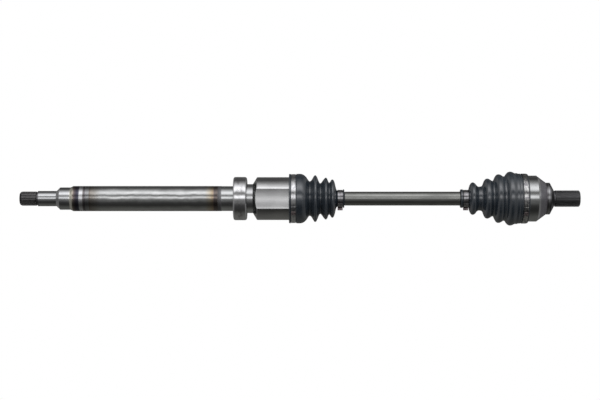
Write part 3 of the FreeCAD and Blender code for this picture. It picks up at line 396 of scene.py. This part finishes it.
def stub_finish():
    """Differential stub: grey phosphated spline, ground pilot and seal seat, weld colours."""
    grey, bright = (0.31, 0.305, 0.305), (0.62, 0.63, 0.635)
    finish = Finish("stub_steel", 1.0, 0.25, bright)
    colour = finish.along([
        (DIFF_END, grey), (-349.4, grey), (-347.6, (0.30, 0.30, 0.31)), (-346.4, (0.16, 0.16, 0.17)),
        (-345.2, bright), (-315.6, bright), (-315.2, (0.60, 0.60, 0.61)),
        (-310.6, (0.5, 0.5, 0.51)), (-309.6, bright), (-292.8, bright),
        (-291.6, (0.88, 0.86, 0.78)), (-287.4, (0.74, 0.70, 0.60)), (-285.4, (0.30, 0.25, 0.22)),
        (-282.5, (0.13, 0.11, 0.12)), (-279.0, (0.080, 0.075, 0.10)),
        (-275.8, (0.12, 0.12, 0.15)), (-274.6, (0.80, 0.80, 0.82)), (-269.4, (0.76, 0.76, 0.78)),
        (-268.4, (0.24, 0.22, 0.22)), (TUBE_START, (0.20, 0.19, 0.20))])
    # Painted shade darkens the spaces between the spline's teeth.
    colour = finish.shade_tooth_gaps(colour, [(DIFF_END, 1.0), (-349.0, 1.0), (-348.0, 0.0), (TUBE_START, 0.0)],
                            0.0113, 0.0121, (0.03, 0.03, 0.032))
    finish.feed("Base Color", dimmed(finish.tree, colour, finish.film(0.80)))
    finish.feed("Roughness", finish.along([
        (DIFF_END, 0.52), (-349.4, 0.50), (-345.0, 0.20), (-315.5, 0.18), (-309.6, 0.20),
        (-291.5, 0.22), (-281, 0.30), (-273.5, 0.30), (TUBE_START, 0.24)]))
    finish.bump(finish.rings()["Height"], 0.12, LATHE_DEPTH)
    return finish.material


def tube_finish():
    """Drawn steel tube: satin, slightly wavy, tinted by the friction weld at each end."""
    steel = (0.60, 0.605, 0.60)
    finish = Finish("tube_steel", 1.0, 0.24, steel)
    colour = finish.along([
        (-266.1, (0.16, 0.15, 0.16)), (-265.2, (0.20, 0.19, 0.20)), (-264.4, (0.34, 0.34, 0.35)),
        (-258.2, 0.38), (-257.4, (0.20, 0.16, 0.13)), (-256.4, (0.34, 0.31, 0.28)),
        (-249.0, (0.42, 0.40, 0.37)), (-238.0, steel), (-60.0, steel),
        (-52.0, (0.60, 0.54, 0.44)), (-47.0, (0.50, 0.40, 0.28)), (-44.6, (0.36, 0.28, 0.24)),
        (-44.2, (0.20, 0.17, 0.16))])
    film = finish.film(0.86)
    finish.feed("Base Color", dimmed(finish.tree, colour, film))
    finish.feed("Roughness", finish.span(film, (0.86, 1.0), (0.24, 0.17)))
    wave = finish.maths("MULTIPLY", finish.noise((30, 20, 20), 2.0), 85.0)
    marks = finish.maths("MULTIPLY", finish.rings(0.2)["Height"], 0.45)
    finish.bump(finish.maths("ADD", wave, marks), 0.75, LATHE_DEPTH)
    return finish.material


def housing_finish():
    """Stem and tripod housing: rough weld band, ground journal, smooth machined lobes, and painted
    shade and painted highlights across the flats.
    """
    bright, body = (0.68, 0.69, 0.69), (0.63, 0.64, 0.63)
    finish = Finish("machined_steel", 1.0, 0.25, bright)
    colour = finish.along([
        (TUBE_END, (0.17, 0.155, 0.15)), (-43.0, (0.22, 0.21, 0.205)), (-36.0, (0.24, 0.235, 0.24)),
        (-32.2, (0.34, 0.34, 0.35)), (-31.6, bright), (11.6, bright), (13.0, bright),
        (21.4, (0.66, 0.66, 0.67)), (22.2, body), (28.6, body), (HOUSING_END, body)])
    # Painted shade and painted highlights on each flat: greys by angle, bright along both edges and
    # the middle, darker just inside the +Y edge.
    flat_painted_light = finish.around([
        (-60, 0.60), (-30, 0.60), (-27.6, 0.66), (-26.8, 0.88), (-24.5, 0.84), (-22.5, 0.64),
        (-18, 0.62), (-13, 0.66), (-8, 0.80), (-2, 0.92), (3, 0.84), (8, 0.66), (13, 0.54),
        (18, 0.42), (23, 0.33), (26.4, 0.27), (27.2, 0.80), (29, 0.90), (31.5, 0.70), (60, 0.60)])
    flats = finish.along([(TUBE_END, 0.0), (27.0, 0.0), (29.0, 1.0), (HOUSING_END, 1.0)])
    colour = finish.blend_colour(flats, colour, flat_painted_light)
    finish.feed("Base Color", dimmed(finish.tree, colour, finish.film(0.86)))
    finish.feed("Roughness", finish.along([
        (TUBE_END, 0.55), (-33.0, 0.52), (-31.6, 0.20), (12.4, 0.20), (21.6, 0.22), (23.0, 0.25),
        (HOUSING_END, 0.26)]))
    weld_band = finish.along([(TUBE_END, 1.0), (-33.0, 1.0), (-32.0, 0.0), (HOUSING_END, 0.0)])
    rough = finish.maths("MULTIPLY", finish.noise((900, 500, 500), 4.0), weld_band)
    height = finish.maths("ADD", finish.maths("MULTIPLY", rough, 7.0), finish.rings()["Height"])
    finish.bump(height, 0.16, LATHE_DEPTH)
    return finish.material


def bell_finish():
    """Ball joint bell: machined cylinder, forged cone, ground collar partly brightened by a painted
    highlight, phosphated spline with painted shade between its teeth.
    """
    machined, forged = (0.56, 0.57, 0.565), (0.34, 0.335, 0.36)
    finish = Finish("forged_steel", 1.0, 0.3, machined)
    colour = finish.along([
        (BELL_START, machined), (508.2, machined), (511.2, (0.60, 0.60, 0.61)), (512.2, forged),
        (519.6, forged), (521.4, (0.32, 0.31, 0.34)), (524.0, (0.28, 0.27, 0.29)),
        # The collar's narrow bright stop near 527.4 mm is partly its ground steel and partly a painted
        # highlight.
        (525.2, 0.20), (526.4, 0.26), (527.4, (0.44, 0.44, 0.45)), (528.6, (0.36, 0.36, 0.37)),
        (529.8, (0.16, 0.16, 0.165)), (538.0, (0.15, 0.15, 0.16)), (539.4, (0.30, 0.30, 0.31)),
        (541.0, (0.24, 0.24, 0.245)), (HUB_END, (0.25, 0.25, 0.255))])
    # Painted shade darkens the spaces between the spline's teeth.
    colour = finish.shade_tooth_gaps(colour, [(BELL_START, 0.0), (540.0, 0.0), (541.0, 1.0), (HUB_END, 1.0)],
                            0.0132, 0.0140, (0.04, 0.04, 0.042))
    finish.feed("Base Color", dimmed(finish.tree, colour, finish.film(0.80)))
    finish.feed("Roughness", finish.along([
        (BELL_START, 0.15), (511.4, 0.15), (512.6, 0.31), (518.0, 0.34), (521.0, 0.48), (523.6, 0.46),
        (524.4, 0.24), (530.4, 0.30), (532.0, 0.42), (539.0, 0.40), (541.0, 0.50),
        (HUB_END, 0.48)]))
    forged_zone = finish.along([(BELL_START, 0.0), (511.4, 0.0), (512.6, 1.0), (523.0, 1.0),
                                (524.0, 0.0), (HUB_END, 0.0)])
    scale = finish.maths("MULTIPLY", finish.noise((300, 300, 300), 5.0, 0.65), 9.0)
    pits = finish.maths("MULTIPLY", scale, forged_zone)
    finish.bump(finish.maths("ADD", pits, finish.rings()["Height"]), 0.14, PIT_DEPTH)
    return finish.material


def bar_finish():
    """Bar between the joints: dark, lightly oiled satin steel."""
    steel, oiled = (0.36, 0.365, 0.345), (0.29, 0.295, 0.28)
    finish = Finish("bar_steel", 1.0, 0.34, steel)
    film = finish.film()
    finish.feed("Base Color", finish.blend_colour(film, steel, oiled))
    finish.feed("Roughness", finish.span(film, (0.0, 1.0), (0.32, 0.42)))
    finish.bump(finish.rings()["Height"], 0.12, LATHE_DEPTH)
    return finish.material


def ring_finish():
    """Ground outer ring of the support bearing, with the faint mottling of its preservative."""
    steel, mottled = (0.80, 0.80, 0.81), (0.46, 0.46, 0.46)
    finish = Finish("bearing_steel", 1.0, 0.11, steel)
    spots = finish.span(finish.noise((150, 110, 110), 4.0, 0.7), (0.44, 0.60))
    band = finish.along([(-11.7, 0.1), (-6.5, 0.15), (-4.5, 0.9), (3.5, 0.9), (6.0, 0.2),
                         (11.7, 0.1)])
    spots = finish.maths("MULTIPLY", spots, band)
    finish.feed("Base Color", finish.blend_colour(spots, steel, mottled))
    finish.feed("Roughness", finish.span(spots, (0.0, 1.0), (0.11, 0.26)))
    finish.bump(finish.rings()["Height"], 0.08, LATHE_DEPTH)
    return finish.material


def clamp_finish(name, steel, dull):
    """Rolled stainless band, faintly brushed along its length and blotched by oil."""
    finish = Finish(name, 1.0, 0.16, steel)
    brush = finish.noise((2400, 90, 90), 3.0)
    blot = finish.noise((300, 240, 240), 3.0, 0.6)
    finish.feed("Base Color", finish.blend_colour(finish.span(blot, (0.44, 0.60)), steel, dull))
    finish.feed("Roughness", finish.span(brush, (0.0, 1.0), (0.13, 0.26)))
    height = finish.maths("ADD", brush, finish.maths("MULTIPLY", blot, 5.0))
    finish.bump(height, 0.20, LATHE_DEPTH)
    return finish.material


def rubber_finish(name, colour, roughness, grain, refraction, reflection):
    """Moulded rubber with a soft bloom and fine grain."""
    finish = Finish(name, 0.0, roughness, colour)
    finish.shader.inputs["IOR"].default_value = refraction
    finish.shader.inputs["Specular IOR Level"].default_value = reflection
    film = finish.film()
    pale = tuple(min(1.0, c * 1.3 + 0.004) for c in colour)
    finish.feed("Base Color", finish.blend_colour(film, colour, pale))
    finish.feed("Roughness", finish.span(film, (0.0, 1.0), (roughness - 0.04, roughness + 0.06)))
    finish.bump(finish.effect(fine_grain, Size=grain)["Height"], 0.12, GRAIN_DEPTH)
    return finish.material


def plastic_finish(name, colour, roughness):
    """Moulded plastic with faint grain."""
    finish = Finish(name, 0.0, roughness, colour)
    pits = finish.effect(fine_grain, Size=2200.0)["Height"]
    tone = tuple(c * 0.8 for c in colour)
    finish.feed("Base Color", finish.blend_colour(pits, colour, tone))
    finish.feed("Roughness", finish.span(pits, (0.3, 0.7), (roughness - 0.05, roughness + 0.05)))
    finish.bump(pits, 0.15, PIT_DEPTH)
    return finish.material


stub_steel = stub_finish()
tube_steel = tube_finish()
housing_steel = housing_finish()
bell_steel = bell_finish()
bar_steel = bar_finish()
ring_steel = ring_finish()
clamp_steel = clamp_finish("clamp_steel", (0.80, 0.80, 0.80), (0.52, 0.52, 0.54))
oiled_clamp_steel = clamp_finish("oiled_clamp_steel", (0.66, 0.66, 0.64), (0.26, 0.25, 0.27))
small_clamp_steel = clamp_finish("small_clamp_steel", (0.42, 0.42, 0.43), (0.25, 0.24, 0.25))
ear_steel = clamp_finish("ear_steel", (0.42, 0.35, 0.35), (0.20, 0.17, 0.18))
ground_steel = turned_steel("ground_steel", (0.66, 0.66, 0.67), roughness=0.20, marks=0.08)
spring_steel = turned_steel("spring_steel", (0.30, 0.30, 0.32), roughness=0.32, marks=0.10)
boot_rubber = rubber_finish("boot_rubber", (0.026, 0.036, 0.048), roughness=0.18, grain=1400.0,
                            refraction=1.72, reflection=0.95)
seal_rubber = rubber_finish("seal_rubber", (0.012, 0.012, 0.013), roughness=0.5, grain=1800.0,
                            refraction=1.5, reflection=0.5)
cage_plastic = plastic_finish("cage_plastic", (0.05, 0.045, 0.035), roughness=0.45)
adapter_plastic = plastic_finish("adapter_plastic", (0.012, 0.012, 0.014), roughness=0.5)

# Nodes that aren't listed here are plain ground steel.
NODE_FINISH = {
    "diff_stub_shaft": stub_steel, "torque_tube": tube_steel, "tulip_housing": housing_steel,
    "bar_shaft": bar_steel, "outer_race_bell": bell_steel,
    "support_bearing_outer_ring": ring_steel, "support_bearing_cage": cage_plastic,
    "support_bearing_seal_left": seal_rubber, "support_bearing_seal_right": seal_rubber,
    "tulip_retaining_wire": spring_steel, "spider_end_circlip": spring_steel,
    "spider_stop_circlip": spring_steel, "inner_race_circlip": spring_steel,
    "inner_boot_adapter": adapter_plastic,
}
for name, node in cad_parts.items():
    node.data.materials.clear()
    node.data.materials.append(NODE_FINISH.get(name, ground_steel))


# ---------------------------------------------------------------- shapes
def turned_ring(section, steps, start=0.0, sweep=360.0):
    """Ring turned round the axle from a closed section of (station, radius) in mm.
    Angles are in degrees from straight up towards -Y."""
    shape = bmesh.new()
    corners = [shape.verts.new((x * MM, 0, r * MM)) for x, r in section]
    sides = [shape.edges.new((a, b)) for a, b in zip(corners, corners[1:] + corners[:1])]
    bmesh.ops.rotate(shape, verts=corners, cent=(0, 0, 0),
                     matrix=Matrix.Rotation(math.radians(start), 3, "X"))
    full = sweep == 360.0
    profile = corners + sides if full else [shape.faces.new(corners)]
    bmesh.ops.spin(shape, geom=profile, cent=(0, 0, 0), axis=AXLE, angle=math.radians(sweep),
                   steps=steps, use_merge=full)
    bmesh.ops.remove_doubles(shape, verts=shape.verts, dist=1e-6)
    bmesh.ops.recalc_face_normals(shape, faces=shape.faces)
    return shape


def subdivided(shape, levels):
    """The same bmesh after a subdivision surface."""
    mesh = bpy.data.meshes.new("work")
    shape.to_mesh(mesh)
    shape.free()
    work = bpy.data.objects.new("work", mesh)
    bpy.context.scene.collection.objects.link(work)
    soft = work.modifiers.new("soft", "SUBSURF")
    soft.levels = soft.render_levels = levels
    soft.use_limit_surface = False
    graph = bpy.context.evaluated_depsgraph_get()
    result = bmesh.new()
    result.from_mesh(work.evaluated_get(graph).to_mesh())
    bpy.data.objects.remove(work)
    bpy.data.meshes.remove(mesh)
    return result


def merge_shapes(target, *others):
    """Adds the other bmeshes to the first one."""
    for other in others:
        mesh = bpy.data.meshes.new("work")
        other.to_mesh(mesh)
        other.free()
        target.from_mesh(mesh)
        bpy.data.meshes.remove(mesh)
    return target


# ---------------------------------------------------------------- boots
BOOT_STEPS = 96      # round a full turn, before it is subdivided


def slice_boot(whole, low, high):
    """Length of the boot between two stations, closed where it was cut."""
    piece = bmesh.new()
    piece.from_mesh(whole)
    for x, side in ((low, -1), (high, 1)):
        if x is None:
            continue
        geometry = piece.verts[:] + piece.edges[:] + piece.faces[:]
        cut = bmesh.ops.bisect_plane(piece, geom=geometry, plane_co=(x * MM, 0, 0),
                                     plane_no=(side, 0, 0), clear_outer=True)
        rim = [e for e in cut["geom_cut"] if isinstance(e, bmesh.types.BMEdge)]
        bmesh.ops.bridge_loops(piece, edges=rim)
    bmesh.ops.recalc_face_normals(piece, faces=piece.faces)
    return piece


def make_boot(node, outside, inside, sections):
    """Boot from its two outlines, cut into lengths.
    A section is (name, from, to, body, body, blend from, blend to); the bodies and blend stations are
    not used."""
    whole = subdivided(turned_ring(outside + inside[::-1], BOOT_STEPS), 1)
    mesh = bpy.data.meshes.new(node + "_whole")
    whole.to_mesh(mesh)
    whole.free()
    for name, low, high, first, second, start, end in sections:
        piece = new_piece(name, slice_boot(mesh, low, high), boot_rubber, SHARP_RUBBER)
        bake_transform(piece)
        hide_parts(node)
    bpy.data.meshes.remove(mesh)


# Outlines of the boots: (station, radius) in mm, from the differential side.
INNER_BOOT_OUTSIDE = [
    # rim
    (83.8, 40.6), (83.8, 41.4), (84.3, 42.2), (84.9, 42.5), (86.4, 42.5), (87.0, 42.2),
    # seat of the large clamp
    (87.2, 41.2), (87.5, 40.9), (91.6, 40.9), (95.5, 40.9), (95.9, 41.4), (96.4, 42.3),
    # first dome and its valley
    (98.8, 42.6), (101.5, 42.7), (103.5, 42.6), (105.3, 42.3), (107.0, 41.8), (108.7, 41.0),
    (110.4, 40.0), (112.1, 38.4), (113.9, 36.5), (115.6, 33.9), (117.3, 31.2), (118.6, 29.7),
    (119.9, 29.6), (121.2, 30.5),
    # second fold and valley
    (122.6, 31.9), (124.2, 34.4), (125.9, 37.7), (127.4, 39.9), (129.0, 40.4), (130.6, 39.5),
    (132.2, 36.6), (133.8, 32.6), (135.2, 28.9), (136.6, 26.7), (138.0, 26.2), (139.4, 27.4),
    # third fold and valley
    (141.2, 30.1), (143.1, 32.6), (144.8, 34.9), (146.4, 36.0), (148.0, 36.0), (149.4, 34.4),
    (150.8, 30.6), (152.0, 27.7), (153.2, 27.4), (154.4, 28.6),
    # fourth fold and neck
    (155.7, 31.0), (157.1, 32.7), (158.6, 33.0), (160.0, 32.3), (161.2, 30.4), (162.6, 26.4),
    (163.8, 20.6), (165.0, 16.0),
    # seat of the small clamp, and lip
    (166.2, 14.1), (167.2, 13.9), (171.0, 13.9), (176.3, 13.9), (176.7, 14.4), (176.9, 15.5),
    (177.2, 16.1), (177.9, 16.2), (178.5, 15.8), (178.8, 14.8), (178.8, 13.4)]
INNER_BOOT_INSIDE = [
    (83.8, 39.3), (88.0, 39.3), (97.8, 39.3), (102.8, 40.0), (107.2, 38.2), (111.9, 34.2),
    (118.1, 26.8), (120.9, 26.8), (129.0, 37.5), (136.4, 23.6), (139.2, 23.6), (147.2, 33.0),
    (151.6, 24.8), (153.6, 24.8), (157.4, 29.8), (159.0, 29.8), (163.0, 12.4), (165.0, 11.8),
    (178.8, 11.8)]
make_boot("inner_boot", INNER_BOOT_OUTSIDE, INNER_BOOT_INSIDE, [
    ("inner_boot_wide_end", None, 115.0, "housing", "inner_boot", 96.5, 115.0),
    ("inner_boot_first_valley", 115.0, 125.0, "inner_boot", "roller_1", 115.0, 125.0),
    ("inner_boot_folds", 125.0, None, "roller_1", "bar", 125.0, 142.0)])

OUTER_BOOT_OUTSIDE = [
    # lip, and seat of the small clamp
    (378.2, 13.4), (378.2, 15.0), (378.6, 15.7), (379.4, 16.0), (381.6, 16.0), (382.4, 15.7),
    (382.7, 14.5), (383.0, 13.9), (387.0, 13.9), (392.0, 13.9), (392.4, 14.6),
    # first fold and valley
    (392.8, 16.6), (393.3, 19.0), (394.4, 22.6), (395.9, 25.8), (397.6, 27.5), (399.4, 28.1),
    (401.1, 27.7), (402.8, 26.8), (404.5, 25.0), (406.2, 22.7), (408.0, 21.0), (409.8, 20.5),
    (411.6, 20.6), (413.4, 20.9), (415.0, 21.4),
    # second fold and valley
    (416.4, 22.8), (417.6, 25.8), (418.8, 29.4), (420.2, 32.1), (421.9, 33.8), (423.6, 34.4),
    (425.2, 34.5), (426.9, 34.0), (428.6, 33.2), (430.3, 32.0), (432.0, 30.8), (433.6, 30.3),
    (435.0, 31.0),
    # third fold and valley
    (436.2, 33.2), (437.4, 36.2), (438.9, 39.1), (440.5, 40.9), (442.3, 41.7), (444.1, 41.9),
    (445.8, 41.6), (447.5, 40.9), (449.3, 39.8), (451.0, 38.6), (452.5, 38.0), (454.0, 38.4),
    # fourth fold
    (455.4, 39.6), (456.8, 41.9), (458.2, 43.9), (459.8, 45.3), (461.6, 46.1), (463.6, 46.5),
    (465.6, 46.2), (467.4, 45.6), (469.2, 44.7), (471.0, 43.9),
    # shoulder with its shallow groove
    (472.4, 43.5), (473.7, 43.8), (475.2, 43.9), (476.4, 43.2), (477.8, 42.8), (479.2, 43.1),
    (480.5, 43.0),
    # seat of the large clamp, and rim
    (481.5, 42.3), (482.2, 41.9), (486.4, 41.95), (490.8, 41.95), (491.3, 42.3), (491.8, 42.7),
    (492.6, 42.5), (493.0, 41.8), (493.0, 40.8)]
OUTER_BOOT_INSIDE = [
    (378.2, 11.8), (385.0, 11.8), (393.0, 11.8), (394.4, 12.6), (399.4, 24.8), (407.6, 17.8),
    (417.8, 17.8), (424.7, 31.4), (432.8, 27.5), (435.0, 27.5), (444.1, 38.8), (451.4, 35.2),
    (453.6, 35.2), (463.4, 43.4), (470.8, 41.2), (476.2, 39.85), (493.0, 39.85)]
make_boot("outer_boot", OUTER_BOOT_OUTSIDE, OUTER_BOOT_INSIDE, [
    ("outer_boot_narrow_end", None, 433.6, "bar", "top_ball", 414.0, 433.6),
    ("outer_boot_third_fold", 433.6, 455.5, "top_ball", "ball_cage", 433.6, 455.5),
    ("outer_boot_fourth_fold", 455.5, 472.4, "ball_cage", "bottom_ball", 455.5, 472.4),
    ("outer_boot_wide_end", 472.4, None, "bottom_ball", "bell", 472.4, 480.5)])


# ---------------------------------------------------------------- clamps
BAND_WALL, BAND_EASE, BAND_STEPS = 0.8, 0.22, 128
LAYER_STEPS = 40
LAYER_WALL, LAYER_EASE, LAYER_INSET, LAYER_GAP = 0.6, 0.18, 0.1, 0.03
EAR_WALL, EAR_INSET, EAR_LIFT = 0.75, 0.05, 0.3
# Centre line of an ear: (round the band, out from it) in mm.
LARGE_EAR = [(-5.2, -0.5), (-4.2, 0.0), (-3.4, 0.4), (-2.6, 1.0), (-1.7, 1.4), (-0.9, 1.1),
             (-0.5, 0.7), (0.5, 0.7), (0.9, 1.1), (1.7, 1.4), (2.6, 1.0), (3.4, 0.4),
             (4.2, 0.0), (5.2, -0.5)]
SMALL_EAR = [(-4.4, -1.2), (-3.0, 0.0), (-1.9, 0.7), (-1.6, 2.2), (-2.3, 3.4), (-2.1, 4.4),
             (-1.0, 4.9), (1.0, 4.9), (2.1, 4.4), (2.3, 3.4), (1.6, 2.2), (1.9, 0.7),
             (3.0, 0.0), (4.4, -1.2)]


def eased_band(x0, x1, r0, r1, ease):
    """Section of a flat band with eased outer corners and chamfered inner ones."""
    return [(x0, r0 + ease), (x0, r1 - ease), (x0 + 0.3 * ease, r1 - 0.3 * ease), (x0 + ease, r1),
            (x1 - ease, r1), (x1 - 0.3 * ease, r1 - 0.3 * ease), (x1, r1 - ease), (x1, r0 + ease),
            (x1 - ease, r0), (x0 + ease, r0)]


def crimped_ear(outline, x0, width, foot, at):
    """Ear bent from a strip that stands on a band of radius foot, at degrees from straight up
    towards -Y."""
    shape = bmesh.new()
    corners = [shape.verts.new((0, -t * MM, (h + foot) * MM)) for t, h in outline]
    line = [shape.edges.new(pair) for pair in zip(corners, corners[1:])]
    spread = bmesh.ops.extrude_edge_only(shape, edges=line)["geom"]
    moved = [v for v in spread if isinstance(v, bmesh.types.BMVert)]
    bmesh.ops.translate(shape, verts=moved, vec=(width * MM, 0, 0))
    across = [e for e in shape.edges if e.verts[0].co.x != e.verts[1].co.x]
    bmesh.ops.subdivide_edges(shape, edges=across, cuts=3)
    bmesh.ops.recalc_face_normals(shape, faces=shape.faces)
    bmesh.ops.solidify(shape, geom=shape.faces[:], thickness=EAR_WALL * MM)
    bmesh.ops.recalc_face_normals(shape, faces=shape.faces)
    shape = subdivided(shape, 2)
    bmesh.ops.rotate(shape, verts=shape.verts, cent=(0, 0, 0),
                     matrix=Matrix.Rotation(math.radians(at), 3, "X"))
    bmesh.ops.translate(shape, verts=shape.verts, vec=(x0 * MM, 0, 0))
    for face in shape.faces:
        face.material_index = 1
    return shape


def make_clamp(node, body, steel, x0, width, inner_r, lap, ear, ear_at):
    """Band clamp from station x0: full turn, a second layer from and to the degrees in lap, and
    its crimped ear."""
    outer_r = inner_r + BAND_WALL
    band = turned_ring(eased_band(x0, x0 + width, inner_r, outer_r, BAND_EASE), BAND_STEPS)
    layer = turned_ring(
        eased_band(x0 + LAYER_INSET, x0 + width - LAYER_INSET, outer_r + LAYER_GAP,
                   outer_r + LAYER_GAP + LAYER_WALL, LAYER_EASE),
        LAYER_STEPS, lap[0], lap[1] - lap[0])
    loop = crimped_ear(ear, x0 + EAR_INSET, width - 2 * EAR_INSET, outer_r + EAR_LIFT, ear_at)
    piece = new_piece(node + "_finished", merge_shapes(band, layer, loop), steel, SHARP_METAL)
    piece.data.materials.append(ear_steel)
    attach(piece, body)
    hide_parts(node)


make_clamp("inner_boot_large_clamp", "housing", clamp_steel, x0=87.6, width=7.7,
           inner_r=41.2, lap=(19.5, 75.0), ear=LARGE_EAR, ear_at=36.0)
make_clamp("outer_boot_large_clamp", "bell", oiled_clamp_steel, x0=482.9, width=7.6,
           inner_r=42.25, lap=(20.5, 75.0), ear=LARGE_EAR, ear_at=37.0)
make_clamp("inner_boot_small_clamp", "bar", small_clamp_steel, x0=167.2, width=9.0,
           inner_r=14.2, lap=(36.0, 130.0), ear=SMALL_EAR, ear_at=90.0)
make_clamp("outer_boot_small_clamp", "bar", small_clamp_steel, x0=383.1, width=8.8,
           inner_r=14.2, lap=(36.0, 130.0), ear=SMALL_EAR, ear_at=90.0)


# ---------------------------------------------------------------- end
bpy.context.view_layer.update()
